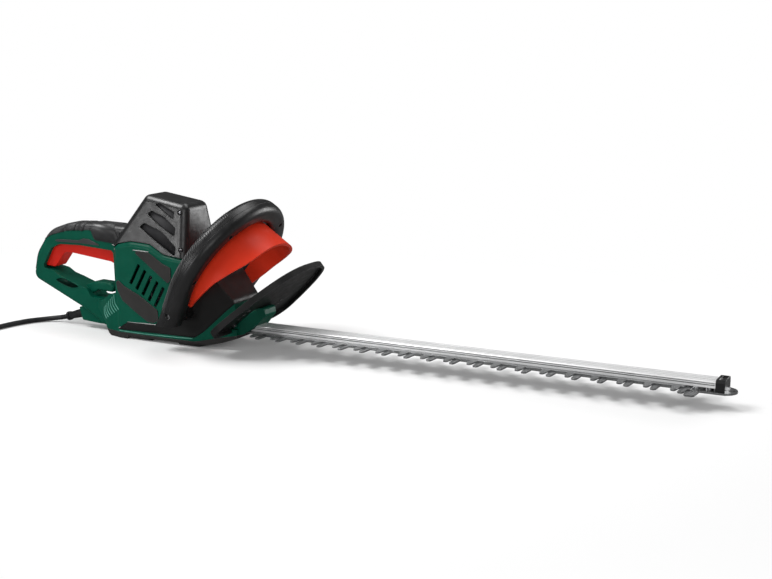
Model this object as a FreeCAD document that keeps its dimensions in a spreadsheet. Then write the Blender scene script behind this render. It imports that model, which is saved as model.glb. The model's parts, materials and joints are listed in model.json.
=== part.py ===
"""Corded hedge trimmer as separate pieces, in millimetres.

+X runs forward along the blade, +Z is up, Y = 0 is the plane of symmetry and the
origin is the middle of the sole's underside.
"""
import FreeCAD
import Part
import Sketcher
import math
import os
import re

from FreeCAD import Vector

SIZES = [
    # motor and gearing
    ("motor_x", 0), ("shaft_radius", 4), ("journal_radius", 3), ("shaft_foot", 26), ("shaft_top", 167),
    ("journal_top_start", 157), ("pinion_teeth", 12), ("gear_teeth", 64), ("gear_module", 1.0),
    ("pinion_foot", 28.5), ("pinion_thickness", 13), ("gear_foot", 30), ("gear_thickness", 10),
    ("backlash", 0.14), ("bearing_outer", 11), ("bearing_height", 7), ("lower_bearing_foot", 47),
    ("upper_bearing_outer", 9.5), ("upper_bearing_height", 6), ("upper_bearing_foot", 159.5),
    ("fan_foot", 58), ("fan_radius", 27), ("fan_height", 15), ("fan_blades", 12), ("fan_hub_radius", 7.5),
    ("stator_foot", 84), ("stator_height", 42), ("stator_radius", 34), ("stator_bore", 18.6),
    ("stator_back_iron", 9.5), ("coil_overhang", 5.5), ("air_gap", 0.6), ("winding_height", 8),
    ("commutator_foot", 138), ("commutator_radius", 11), ("commutator_height", 14), ("commutator_bars", 12),
    ("brush_side", 7), ("brush_reach", 17), ("brush_holder_wall", 1.5), ("bridge_foot", 154.5),
    ("bridge_thickness", 3.5), ("bridge_radius", 28.5), ("post_radius", 2),
    ("lower_post_circle", 31), ("upper_post_circle", 26.5),
    ("gear_pin_radius", 4), ("eccentricity", 7.75), ("eccentric_radius", 14), ("bush_wall", 2),
    ("running_gap", 0.06), ("gap", 0.3),
    # cutting blades and bar
    ("blade_level", 22.5), ("blade_thickness", 1.8), ("blade_gap", 0.1), ("blade_rest_offset", 4.15),
    ("tooth_pitch", 31), ("tooth_pairs", 19), ("first_tooth_x", 150), ("tooth_reach", 38),
    ("tooth_root_width", 10), ("tooth_tip_width", 6.5), ("spine_half_width", 20), ("spine_start", 136),
    ("spine_end_margin", 8), ("neck_half_width", 12), ("yoke_wall", 5.5),
    ("bar_start", 77), ("bar_end", 756), ("bar_half_width", 13), ("bar_height", 7.6),
    ("bolt_first_x", 165), ("bolt_pitch", 108.5), ("bolt_count", 6), ("bolt_radius", 2.5),
    ("bolt_head_radius", 4.6), ("bolt_head_height", 2.6), ("washer_radius", 7.5), ("washer_thickness", 1.2),
    ("bushing_radius", 4.4), ("end_plate_thickness", 2.2), ("end_plate_half_width", 16),
    ("end_plate_start", 716), ("end_plate_centre", 756), ("end_tooth_x", 727), ("end_bolt_x", 740),
    ("hang_hole_radius", 4), ("hang_hole_x", 765.5),
    ("cap_start", 750), ("cap_front", 760.5), ("cap_half_width", 14), ("cap_top", 34.5),
    # gearbox casting
    ("box_rear_x", -36), ("box_front_x", 72), ("box_half_width", 36), ("box_wall", 3), ("box_foot", 10),
    ("floor_thickness", 4), ("lid_foot", 43), ("lid_thickness", 4), ("pad_front_x", 118),
    ("bar_screw_rear_x", 88), ("bar_screw_front_x", 106),
    # casings
    ("body_half_width", 42), ("body_rear_x", -87), ("sole_top", 8), ("shell_wall", 2.6), ("seam", 0.15),
    ("body_edge", 7), ("handle_half_width", 17.5), ("handle_edge", 8), ("nose_half_width", 25),
    ("vent_count", 5), ("vent_pitch", 10), ("vent_width", 4.2), ("inlay_thickness", 1.2),
    ("hood_top", 200), ("hood_top_half_width", 22), ("hood_foot_half_width", 45), ("hood_edge", 11),
    ("grip_skin", 2.2),
    # rear trigger
    ("trigger_half_width", 11), ("trigger_pin_radius", 2), ("trigger_pivot_x", -99),
    ("trigger_pivot_z", 127), ("switch_x", -136), ("switch_foot", 129), ("spring_radius", 4),
    ("spring_x", -170), ("spring_turns", 6), ("spring_wire", 0.6),
    # bow handle, switch bar and hand guard
    ("bow_foot_x", 35), ("bow_foot_z", 24), ("bow_lean", 33), ("bow_radius", 89), ("bow_centre", 101),
    ("bow_splay", 17), ("bow_foot_half_span", 67), ("bow_foot_bend", 60),
    ("bow_half_width", 13.5), ("bow_half_depth", 16), ("bow_front_depth", 13), ("bow_wall", 3),
    ("bow_boss_radius", 12),
    ("bar_switch_radius", 70), ("bar_switch_wall", 4), ("bar_switch_foot", 50), ("bar_switch_rear", -3),
    ("bar_switch_front_top", 51), ("bar_switch_front_foot", 14),
    ("guard_lean", 49.8), ("guard_half_width", 93), ("guard_height", 246), ("guard_base_x", 30.5),
    ("guard_base_z", -37.6), ("guard_foot", 103), ("guard_thickness", 3), ("guard_rim", 4),
    ("guard_rim_height", 5), ("guard_corner", 26),
    # electrics
    ("switch_length", 20), ("switch_height", 14), ("plunger_radius", 2.5), ("plunger_travel", 2.2),
    # mains lead
    ("cord_radius", 3.5), ("boot_length", 36), ("boot_end_radius", 5), ("boot_root_radius", 7),
    ("boot_collar_radius", 6.5), ("boot_slope", 16), ("gland_x", -156), ("gland_z", 19.5),
    ("plug_length", 36), ("plug_width", 34), ("plug_height", 14), ("plug_pin_radius", 2),
    ("plug_pin_length", 19), ("plug_pin_pitch", 19),
]

doc = FreeCAD.newDocument("hedge_trimmer")
sheet = doc.addObject("Spreadsheet::Sheet", "Sizes")
for row, (alias, value) in enumerate(SIZES, start=1):
    sheet.set("A%d" % row, alias)
    sheet.set("B%d" % row, str(value))
    sheet.setAlias("B%d" % row, alias)
probe = doc.addObject("Spreadsheet::Sheet", "Probe")
doc.recompute()
NAMES = {alias for alias, _ in SIZES}
NODES = []


def linked(text):
    """Turn the plain names of an expression into references to the sheet."""
    return re.sub(r"[a-z]\w*", lambda m: "Sizes." + m.group() if m.group() in NAMES else m.group(), str(text))


def size(alias):
    """A driving size as a number, for shapes that are set by code."""
    return float(sheet.get(alias))


def bind(item, **expressions):
    for prop, text in expressions.items():
        item.setExpression(prop, linked(text))
    return item


def place(item, x="0", y="0", z="0"):
    for axis, text in zip("xyz", (x, y, z)):
        item.setExpression("Placement.Base." + axis, linked(text))
    return item


def node(item, label):
    item.Label = label
    NODES.append(item)
    return item


# ---- parametric primitives ------------------------------------------------------------

def tool(kind, name, x="0", y="0", z="0", **expressions):
    item = doc.addObject("Part::" + kind, name + "_tool")
    bind(item, **expressions)
    return place(item, x, y, z)


def rod(name, radius, height, x="0", y="0", z="0", along="Z"):
    item = tool("Cylinder", name, x, y, z, Radius=radius, Height=height)
    turns = {"Z": (0, 0, 0), "X": (0, 90, 0), "Y": (0, 0, -90)}
    yaw, pitch, roll = turns[along]
    item.Placement.Rotation = FreeCAD.Rotation(yaw, pitch, roll)
    return item


def block(name, length, width, height, x, y, z):
    """A box from its lowest corner."""
    return tool("Box", name, x, y, z, Length=length, Width=width, Height=height)


def joined(name, *items):
    fuse = doc.addObject("Part::MultiFuse", name + "_fuse")
    fuse.Shapes = list(items)
    return fuse


def cut(name, base, *tools):
    item = doc.addObject("Part::Cut", name + "_cut")
    item.Base = base
    item.Tool = tools[0] if len(tools) == 1 else joined(name + "_tools", *tools)
    return item


def ring(name, outer, inner, height, x="0", y="0", z="0"):
    return cut(name, rod(name + "_outer", outer, height, x, y, z),
               rod(name + "_bore", inner, height + " + 2", x, y, z + " - 1"))


def free(name, shape, label=None):
    """A piece whose shape is worked out by code."""
    item = doc.addObject("Part::Feature", name + "_shape")
    item.Shape = shape
    return node(item, label or name)


# ---- part design helpers --------------------------------------------------------------

def origin_plane(body, role):
    return next(f for f in body.Origin.OriginFeatures if f.Role == role)


def sketch_on(body, name, role, height="0"):
    sketch = body.newObject("Sketcher::SketchObject", name)
    sketch.AttachmentSupport = [(origin_plane(body, role), "")]
    sketch.MapMode = "FlatFace"
    sketch.setExpression("AttachmentOffset.Base.z", linked(height))
    return sketch


def constrain_point(sketch, index, end, x, y):
    for kind, text in (("DistanceX", x), ("DistanceY", y)):
        number = sketch.addConstraint(Sketcher.Constraint(kind, -1, 1, index, end, value_of(text)))
        sketch.setExpression("Constraints[%d]" % number, linked(text))


def value_of(text):
    """The number that an expression in the sizes gives."""
    probe.set("A1", "=" + linked(text))
    probe.recompute()
    return float(probe.get("A1"))


def draw_loop(sketch, points):
    """A closed loop of straight lines whose corners are tied to the sheet."""
    corners = [Vector(value_of(x), value_of(y), 0) for x, y in points]
    count = len(corners)
    first = sketch.GeometryCount
    for i in range(count):
        sketch.addGeometry(Part.LineSegment(corners[i], corners[(i + 1) % count]), False)
    for i in range(count):
        sketch.addConstraint(Sketcher.Constraint("Coincident", first + i, 2, first + (i + 1) % count, 1))
    for i, (x, y) in enumerate(points):
        constrain_point(sketch, first + i, 1, x, y)


def draw_circle(sketch, x, y, radius):
    index = sketch.addGeometry(Part.Circle(Vector(value_of(x), value_of(y), 0), Vector(0, 0, 1),
                                           value_of(radius)), False)
    constrain_point(sketch, index, 3, x, y)
    number = sketch.addConstraint(Sketcher.Constraint("Radius", index, value_of(radius)))
    sketch.setExpression("Constraints[%d]" % number, linked(radius))


def new_body(label):
    body = doc.addObject("PartDesign::Body", label + "_body")
    return node(body, label)


def pad(body, name, role, height, length, loops=(), circles=(), midplane=False):
    sketch = sketch_on(body, name + "_sketch", role, height)
    for points in loops:
        draw_loop(sketch, points)
    for circle in circles:
        draw_circle(sketch, *circle)
    feature = body.newObject("PartDesign::Pad", name)
    feature.Profile = sketch
    feature.Midplane = midplane
    bind(feature, Length=length)
    doc.recompute()
    return feature


def pocket(body, name, role, height, length, loops=(), circles=(), midplane=False, reverse=False):
    sketch = sketch_on(body, name + "_sketch", role, height)
    for points in loops:
        draw_loop(sketch, points)
    for circle in circles:
        draw_circle(sketch, *circle)
    feature = body.newObject("PartDesign::Pocket", name)
    feature.Profile = sketch
    feature.Midplane = midplane
    feature.Reversed = reverse
    bind(feature, Length=length)
    doc.recompute()
    return feature


def repeat_along_x(body, name, features, pitch, count):
    pattern = body.newObject("PartDesign::LinearPattern", name)
    pattern.Originals = features
    pattern.Direction = (origin_plane(body, "X_Axis"), [""])
    pattern.Mode = "Spacing"
    bind(pattern, Offset=pitch, Occurrences=count)
    body.Tip = pattern
    doc.recompute()
    return pattern


def rectangle(x0, y0, x1, y1):
    return [(x0, y0), (x1, y0), (x1, y1), (x0, y1)]


# ---- shapes set by code ---------------------------------------------------------------

def side_point(u, v):
    """A point of the side view."""
    return Vector(u, 0, v)


def top_point(u, v):
    """A point of the view from above."""
    return Vector(u, v, 0)


def rounded_wire(corners, to_space):
    """A closed wire through (u, v, radius) corners, each rounded by its own radius."""
    count = len(corners)
    ends = []
    for i, (u, v, radius) in enumerate(corners):
        here = Vector(u, v, 0)
        before = Vector(*corners[i - 1][:2], 0) - here
        after = Vector(*corners[(i + 1) % count][:2], 0) - here
        before.normalize()
        after.normalize()
        half = before.getAngle(after) / 2
        if radius == 0:
            ends.append((here, None, here))
            continue
        reach = radius / math.tan(half)
        middle = before + after
        middle.normalize()
        apex = here + middle * (radius / math.sin(half) - radius)
        ends.append((here + before * reach, apex, here + after * reach))
    edges = []
    for i, (start, apex, finish) in enumerate(ends):
        if apex is not None:
            points = [to_space(p.x, p.y) for p in (start, apex, finish)]
            edges.append(Part.Arc(*points).toShape())
        next_start = ends[(i + 1) % count][0]
        if finish.distanceToPoint(next_start) > 1e-6:
            edges.append(Part.LineSegment(to_space(finish.x, finish.y),
                                          to_space(next_start.x, next_start.y)).toShape())
    return Part.Wire(edges)


def across(wire, half_width):
    """The solid that a side-view wire makes over the width."""
    face = Part.Face(wire)
    face.translate(Vector(0, -half_width, 0))
    return face.extrude(Vector(0, 2 * half_width, 0))


def side_edges(solid, half_width):
    return [e for e in solid.Edges
            if all(abs(abs(v.Y) - half_width) < 1e-6 for v in e.Vertexes)
            and abs(e.Vertexes[0].Y - e.Vertexes[-1].Y) < 1e-6]


def soft_slab(wire, half_width, edge):
    solid = across(wire, half_width)
    return solid.makeFillet(edge, side_edges(solid, half_width))


def inset(wire, distance):
    """The wire moved inwards by a distance, or outwards where it is negative."""
    return wire.makeOffset2D(-distance).Wires[0] if distance else wire


def box_between(x0, y0, z0, x1, y1, z1):
    return Part.makeBox(x1 - x0, y1 - y0, z1 - z0, Vector(x0, y0, z0))


def cylinder(radius, start, finish):
    direction = finish - start
    return Part.makeCylinder(radius, direction.Length, start, direction)


def one(shape):
    """The largest solid of a shape, after its flat faces are merged."""
    clean = shape.removeSplitter()
    return max(clean.Solids, key=lambda solid: solid.Volume)


def group(shapes):
    return Part.makeCompound(list(shapes))


WALL = size("shell_wall")
SEAM = size("seam")
GAP = size("gap")
BODY_HALF = size("body_half_width")
HANDLE_HALF = size("handle_half_width")
REAR_X = size("body_rear_x")
BLADE_TOP = size("blade_level") + size("blade_gap") / 2 + size("blade_thickness")
BLADE_FOOT = size("blade_level") - size("blade_gap") / 2 - size("blade_thickness")
BAR_FOOT = BLADE_TOP + size("blade_gap")
BAR_TOP = BAR_FOOT + size("bar_height")
FAR = 400

# outlines of the casing, seen from the side: x, z and corner radius
BODY_OUTLINE = [(REAR_X, 0, 12), (66, 0, 10), (102, 9, 15), (122, 15.5, 2), (122, 27.5, 2), (108, 27.5, 2),
                (123.5, 42.5, 6), (119, 66, 14), (92, 96, 30), (52, 117.5, 12), (14, 122, 20),
                (-10, 134, 20), (-42, 135.5, 14), (-64, 131, 10), (REAR_X, 112, 14)]
HANDLE_OUTLINE = [(-62, 151, 0), (-125, 152, 60), (-170, 149.5, 60), (-206, 137, 40), (-231, 103, 40),
                  (-240, 66, 12), (-150, 28, 30), (-106, 3, 16), (-62, 3, 0)]
HANDLE_HOLE = [(-88, 45, 6), (-89.5, 116, 6), (-150, 119.5, 30), (-186, 118.5, 14), (-202, 112, 12),
               (-220, 82, 4), (-200, 78.5, 6), (-190, 72.5, 14), (-140, 57.5, 8), (-132, 46, 5)]
HOOK_OUTLINE = [(-150, 55, 0), (-148, 61.5, 6), (-130, 68.5, 12), (-103, 67.5, 5), (-95.5, 61.5, 4),
                (-101, 54.5, 3), (-126, 55.5, 3), (-137, 50, 0)]
NOSE_OUTLINE = [(96, 16, 0), (120, 15.5, 0), (139, 28, 10), (157.5, 47.5, 4), (155.5, 57, 4), (147.5, 57, 3),
                (138, 50, 6), (100, 60, 0)]
TOP_OUTLINE = [(-90, -14, 0), (-67, -BODY_HALF, 14), (72, -BODY_HALF, 40), (126, -28, 0), (126, 28, 0),
               (72, BODY_HALF, 40), (-67, BODY_HALF, 14), (-90, 14, 0)]
# the neck flares from the lower spar of the rear handle out to the body
NECK_OUTLINE = [(-128, 40, 1), (-104, 46, 10), (-80, 60, 12), (-50, 60, 0), (-50, 0, 0), (REAR_X, 0, 12),
                (-99, 17, 8), (-126, 36, 1)]
NECK_HOLLOW = [(-108, 40, 3), (-82, 56, 8), (-50, 56, 0), (-50, 2, 0), (-84, 2.6, 8), (-96, 20, 6)]
NECK_PLAN = [(-132, -14, 0), (-122, -17, 20), (-90, -34, 60), (-60, -BODY_HALF, 40), (-50, -BODY_HALF, 0),
             (-50, BODY_HALF, 0), (-60, BODY_HALF, 40), (-90, 34, 60), (-122, 17, 20), (-132, 14, 0)]
COVER_REGION = [(-67, 11.8, 0), (-49, 23.5, 3), (24, 25.5, 6), (29, 52, 10), (42, 100, 10), (50, 125, 0),
                (125, 125, 0), (131, 73, 0), (108, 52.5, 10), (77, 23, 12), (63, 13.6, 8)]
GRIP_REGION = [(-250, 79, 0), (-234, 79, 0), (-227, 104, 20), (-213, 124, 20), (-200, 131, 10),
               (-170, 139, 20), (-128, 142.5, 2), (-122, 129, 6), (-93, 127, 10), (-74, 121.5, 3),
               (-63, 132, 0), (-63, 175, 0), (-250, 175, 0)]


def side_wire(corners):
    return rounded_wire(corners, side_point)


def plan_prism(inset_by=0.0):
    plan = Part.Face(inset(rounded_wire(TOP_OUTLINE, top_point), inset_by))
    plan.translate(Vector(0, 0, -10))
    return plan.extrude(Vector(0, 0, 240))


def body_solid(inset_by=0.0):
    edge = size("body_edge") - inset_by
    slab = soft_slab(inset(side_wire(BODY_OUTLINE), inset_by), BODY_HALF - inset_by, edge)
    return slab.common(plan_prism(inset_by))


def handle_solid(inset_by=0.0):
    half = HANDLE_HALF - inset_by
    edge = size("handle_edge") - inset_by
    loop = soft_slab(inset(side_wire(HANDLE_OUTLINE), inset_by), half, edge)
    hole = across(inset(side_wire(HANDLE_HOLE), -inset_by), half + 5)
    return loop.cut(hole)


def neck_solid(outline, inset_by):
    plan = Part.Face(inset(rounded_wire(NECK_PLAN, top_point), inset_by)).extrude(Vector(0, 0, 100))
    return across(side_wire(outline), BODY_HALF).common(plan)


body_outer = body_solid()
body_inner = body_solid(WALL)
handle_wall = size("grip_skin") + SEAM + WALL - 0.4
handle_outer = handle_solid()
handle_core = handle_solid(size("grip_skin"))
handle_under = handle_solid(size("grip_skin") + SEAM)
handle_inner = handle_solid(handle_wall)
NOSE_HALF = size("nose_half_width")
nose_plan = Part.Face(rounded_wire([(90, -NOSE_HALF, 0), (124, -NOSE_HALF, 12), (162, -11, 9), (162, 11, 9),
                                    (124, NOSE_HALF, 12), (90, NOSE_HALF, 0)], top_point))
nose = soft_slab(side_wire(NOSE_OUTLINE), NOSE_HALF, 2).common(nose_plan.extrude(Vector(0, 0, 100)))
neck_outer = neck_solid(NECK_OUTLINE, 0)
neck_inner = neck_solid(NECK_HOLLOW, WALL)
hook = soft_slab(side_wire(HOOK_OUTLINE), 10, 3)


def push(point, direction, distance):
    return point + direction * distance


# ---- plane of the hand guard ----------------------------------------------------------

GUARD_LEAN = math.radians(size("guard_lean"))
GUARD_UP = Vector(math.sin(GUARD_LEAN), 0, math.cos(GUARD_LEAN))
GUARD_OUT = Vector(math.cos(GUARD_LEAN), 0, -math.sin(GUARD_LEAN))
GUARD_BASE = Vector(size("guard_base_x"), 0, size("guard_base_z"))
THICK = size("guard_thickness")
GUARD_SCREW_Y = 30.5
GUARD_SCREW_RISE = 114
GUARD_SCREW_RADIUS = 1.7


def guard_point(y, rise, out=0.0):
    return GUARD_BASE + Vector(0, y, 0) + GUARD_UP * rise + GUARD_OUT * out


def guard_screw_line(side):
    """Tip and head seat of a guard screw."""
    return (guard_point(side * GUARD_SCREW_Y, GUARD_SCREW_RISE, -10),
            guard_point(side * GUARD_SCREW_Y, GUARD_SCREW_RISE, THICK))


guard_bores = []
for side in (-1, 1):
    tip, seat = guard_screw_line(side)
    guard_bores.append(cylinder(GUARD_SCREW_RADIUS + 0.05, push(tip, GUARD_OUT, -0.2),
                                push(seat, GUARD_OUT, 1)))

# ---- green housing halves -------------------------------------------------------------

boot_tilt = math.radians(size("boot_slope"))
BOOT_OUT = Vector(-math.cos(boot_tilt), 0, -math.sin(boot_tilt))
BOOT_UP = Vector(-math.sin(boot_tilt), 0, math.cos(boot_tilt))
GLAND = Vector(size("gland_x"), 0, size("gland_z"))
GLAND_HALF_HEIGHT = 9.5
GLAND_FLOOR = 8
gland_top = push(GLAND, BOOT_UP, GLAND_HALF_HEIGHT)
gland_foot = push(GLAND, BOOT_UP, -GLAND_HALF_HEIGHT)
gland = across(side_wire([(gland_top.x, gland_top.z, 0), (gland_foot.x, gland_foot.z, 3),
                          (-118, GLAND_FLOOR, 2), (-104, GLAND_FLOOR, 0), (-104, 32, 0),
                          (-140, 34, 0)]), 13)
STEM_RADIUS = size("boot_root_radius") - 2
STEM_LENGTH = 12
gland_bore = cylinder(STEM_RADIUS + GAP, push(GLAND, BOOT_OUT, 5), push(GLAND, BOOT_OUT, -34))

SOLE_TOP = size("sole_top")
SOLE_REGION = [(-120, -20, 0), (140, -20, 0), (140, 23, 0), (116, 18.5, 10), (100, 16, 10),
               (62, SOLE_TOP, 10), (-120, SOLE_TOP, 0)]
below_sole = across(side_wire(SOLE_REGION), 80)
below_seam = across(inset(side_wire(SOLE_REGION), -2 * SEAM), 80)
cover_region = across(side_wire(COVER_REGION), 60)
cover_seam = across(inset(side_wire(COVER_REGION), -2 * SEAM), 60)
grip_region = across(side_wire(GRIP_REGION), 40)
grip_seam = across(inset(side_wire(GRIP_REGION), -2 * SEAM), 40)
MOTOR_WELL_HALF = size("stator_radius") + 0.5
motor_well = box_between(-52, -MOTOR_WELL_HALF, 90, 41, MOTOR_WELL_HALF, 170)
BAR_HALF = size("bar_half_width")
PAD_FRONT = size("pad_front_x")
blade_slot = box_between(60, -BAR_HALF - GAP, BLADE_FOOT - 0.5, 170, BAR_HALF + GAP, BAR_TOP + GAP)
SPINE_HALF = size("spine_half_width")
spine_slot = box_between(size("spine_start") - 12.5, -SPINE_HALF - GAP, BLADE_FOOT - 0.5,
                         170, SPINE_HALF + GAP, BLADE_TOP + GAP)
tongue_slot = box_between(60, -BAR_HALF - 2 * GAP, 17.3, PAD_FRONT + 1.5, BAR_HALF + 2 * GAP, 41)

TRIGGER_OUTLINE = [(-91, 95.5, 2), (-91, 131, 3), (-107, 131, 3), (-108.5, 121, 1), (-150, 122.5, 30),
                   (-187, 121.5, 12), (-204, 113.5, 12), (-219, 84.5, 2), (-201, 83.5, 5),
                   (-183, 106, 8), (-169, 106.3, 30), (-100, 99, 6)]
TRIGGER_SLOT = [(-88.9, 93, 0), (-88.9, 134.5, 0), (-110, 134.5, 0), (-112, 131, 0), (-190, 131, 0),
                (-210, 122, 0), (-228, 90, 0), (-226, 82.2, 0), (-199, 81.5, 0), (-199, 100, 0),
                (-150, 110, 0)]
TRIGGER_HALF = size("trigger_half_width")
trigger_slot = across(side_wire(TRIGGER_SLOT), TRIGGER_HALF + GAP)


def vent_tools():
    """Slanted cooling slots through both side walls."""
    slots = []
    for i in range(int(size("vent_count"))):
        top_x = -28 + i * size("vent_pitch")
        top_z = 107 - i * 7
        foot_x = top_x - 16
        foot_z = top_z - 28
        width = size("vent_width")
        outline = [(top_x, top_z, 0.8), (top_x + width, top_z - 3, 0.8),
                   (foot_x + width, foot_z - 3, 0.8), (foot_x, foot_z, 0.8)]
        slots.append(across(side_wire(outline), 60))
    return slots


handle_bare = handle_outer.cut(grip_seam.common(handle_outer.cut(handle_under)))
housing_outer = body_outer.fuse([handle_bare, nose, hook, gland, neck_outer])
housing = housing_outer.cut([body_inner, handle_inner, neck_inner, below_seam, cover_seam, motor_well,
                             gland_bore, blade_slot, spine_slot, tongue_slot, trigger_slot]
                            + vent_tools() + guard_bores)
for side, low, high in (("left", 0, FAR), ("right", -FAR, 0)):
    half_space = box_between(-FAR, low, -FAR, FAR, high, FAR)
    free("housing_" + side, one(housing.common(half_space)))

# ---- sole, gear cover, motor hood -----------------------------------------------------

FOOT_DROP = 3.5
sole = body_outer.fuse(neck_outer).common(below_sole).cut([body_inner, neck_inner])
sole_floor = box_between(-13, -36, 1.5, 35, 36, FOOT_DROP + WALL)
BOX_FOOT = size("box_foot")
sole_posts = [cylinder(4, Vector(x, y, WALL - 0.5), Vector(x, y, BOX_FOOT - 0.1))
              for x in (-30, 64) for y in (-26, 26)]
sole = sole.fuse([sole_floor.common(body_outer)] + sole_posts).cut(
    box_between(-13, -60, -1, 35, 60, FOOT_DROP).cut(box_between(-13, -20, -1, 35, 20, FAR)))
free("sole_plate", one(sole))

BOW_LEAN = math.radians(size("bow_lean"))
BOW_UP = Vector(math.sin(BOW_LEAN), 0, math.cos(BOW_LEAN))
BOW_OUT = Vector(math.cos(BOW_LEAN), 0, -math.sin(BOW_LEAN))
BOW_FOOT = Vector(size("bow_foot_x"), 0, size("bow_foot_z"))
BOW_SPAN = size("bow_foot_half_span")
BOW_HALF = size("bow_half_width")
BOW_DEPTH = size("bow_half_depth")
BOW_FRONT = size("bow_front_depth")


def bow_point(y, rise, out=0.0):
    """A point of the leaning plane of the bow handle."""
    return BOW_FOOT + Vector(0, y, 0) + BOW_UP * rise + BOW_OUT * out


BOSS_RISE = 31
boss_point = bow_point(0, BOSS_RISE)
BOW_SCREW_RADIUS = 2
foot_screw_bores = [cylinder(BOW_SCREW_RADIUS + 0.05, Vector(boss_point.x, side * 30, boss_point.z),
                             Vector(boss_point.x, side * 92, boss_point.z)) for side in (-1, 1)]

HOOD_FOOT_Z = 100
HOOD_TOP = size("hood_top")


def hood_solid(inset_by=0.0):
    """A truncated pyramid: its back slopes, its front is nearly upright and its top tips forward."""
    def section(z, rear_x, front_x, half):
        corners = [(rear_x + inset_by, -half + inset_by), (front_x - inset_by, -half + inset_by),
                   (front_x - inset_by, half - inset_by), (rear_x + inset_by, half - inset_by)]
        points = [Vector(x, y, z) for x, y in corners]
        return Part.makePolygon(points + points[:1])

    foot = section(HOOD_FOOT_Z, -97.5, 51, size("hood_foot_half_width"))
    top = section(HOOD_TOP + 10, -19, 42, size("hood_top_half_width"))
    above = [(-70, HOOD_TOP + 6.7), (60, HOOD_TOP - 13.3), (60, HOOD_TOP + 40), (-70, HOOD_TOP + 40)]
    lid = across(side_wire([(x, z - inset_by, 0) for x, z in above]), 60)
    solid = Part.makeLoft([foot, top], True, True).cut(lid)
    edges = [e for e in solid.Edges if any(v.Z > HOOD_FOOT_Z + 1 for v in e.Vertexes)]
    return solid.makeFillet(size("hood_edge") - inset_by, edges)


LOUVRES = [[(-30, 156, 2), (-22, 161.5, 3), (8, 152, 40), (33, 133, 3), (33, 121, 2), (4, 136, 40)],
           [(-19, 174, 2), (-11, 178.5, 3), (10, 171.5, 40), (29.5, 158, 3), (29.5, 146.5, 2), (6, 158, 40)],
           [(-9, 188, 1.5), (0, 189, 2), (25.5, 179, 2), (25.5, 168.5, 2), (8, 178.5, 20)]]
louvre_tools = [across(side_wire(outline), 60) for outline in LOUVRES]
under_hood = across(inset(side_wire(BODY_OUTLINE), -2 * SEAM), 70)
around_handle = across(inset(side_wire(HANDLE_OUTLINE), -2 * SEAM), HANDLE_HALF + 2 * SEAM)
hood_outer = hood_solid().common(plan_prism())
hood_inner = hood_solid(WALL).common(plan_prism(WALL))
louvre_walls = [t.cut(box_between(-60, -12, 100, 60, 12, 210)) for t in louvre_tools]
hood = hood_outer.cut([hood_inner, under_hood, around_handle] + louvre_walls)
free("motor_hood", one(hood))

# ---- handle grip, insert, side inlays -------------------------------------------------

behind_body = across(inset(side_wire(BODY_OUTLINE), -2 * SEAM), 60)
grip = handle_outer.cut(handle_core).common(grip_region).cut(behind_body)
free("handle_grip", one(grip))
INSERT_OUTLINE = [(-199, 123.5, 1), (-184, 125.5, 2), (-150, 126.5, 2), (-142, 129.5, 3), (-132, 129.5, 3),
                  (-118, 124.5, 3), (-112, 121.5, 0.5), (-150, 122.5, 1), (-186, 121.8, 1)]
INLAY = size("inlay_thickness")
UPPER_INLAY = [(-35, 124, 2), (-9, 123.5, 4), (13, 110.5, 10), (27, 105, 2), (27, 89, 2), (22, 84, 2),
               (-6, 103.5, 6)]
LOWER_INLAY = [(-66, 84, 3), (-51, 73, 10), (-26, 62.5, 20), (3, 45, 3), (4, 31, 3), (-4, 27, 3),
               (-14, 27.5, 6), (-35, 40, 20), (-56, 54, 10), (-64, 68, 6)]


def side_skins(outline, half_width):
    """Thin pads on both flat sides of the casing."""
    wire = side_wire(outline)
    skins = []
    for side in (-1, 1):
        face = Part.Face(wire)
        face.translate(Vector(0, side * half_width, 0))
        skins.append(face.extrude(Vector(0, side * INLAY, 0)))
    return group(skins)


free("handle_inserts", side_skins(INSERT_OUTLINE, HANDLE_HALF))
upper_skins = side_skins(UPPER_INLAY, BODY_HALF).Solids
lower_skins = side_skins(LOWER_INLAY, BODY_HALF).Solids
free("side_inlays", group(upper_skins + lower_skins))


# ---- bow handle and switch bar --------------------------------------------------------

BOW_CENTRE = size("bow_centre")
BOW_SPLAY = math.radians(size("bow_splay"))


def arch_points(radius, foot_rise):
    """Foot, tangent, top, tangent and foot of a splayed arch of one radius."""
    tangent = (radius * math.cos(BOW_SPLAY), BOW_CENTRE - radius * math.sin(BOW_SPLAY))
    foot = (tangent[0] - (tangent[1] - foot_rise) * math.tan(BOW_SPLAY), foot_rise)
    return foot, tangent, (0, BOW_CENTRE + radius)


def arch_edges(radius, foot_rise, out=0.0):
    foot, tangent, top = arch_points(radius, foot_rise)
    left = [bow_point(-y, rise, out) for y, rise in (foot, tangent)]
    right = [bow_point(y, rise, out) for y, rise in (foot, tangent)]
    return [Part.LineSegment(left[0], left[1]).toShape(),
            Part.Arc(left[1], bow_point(top[0], top[1], out), right[1]).toShape(),
            Part.LineSegment(right[1], right[0]).toShape()]


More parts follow.
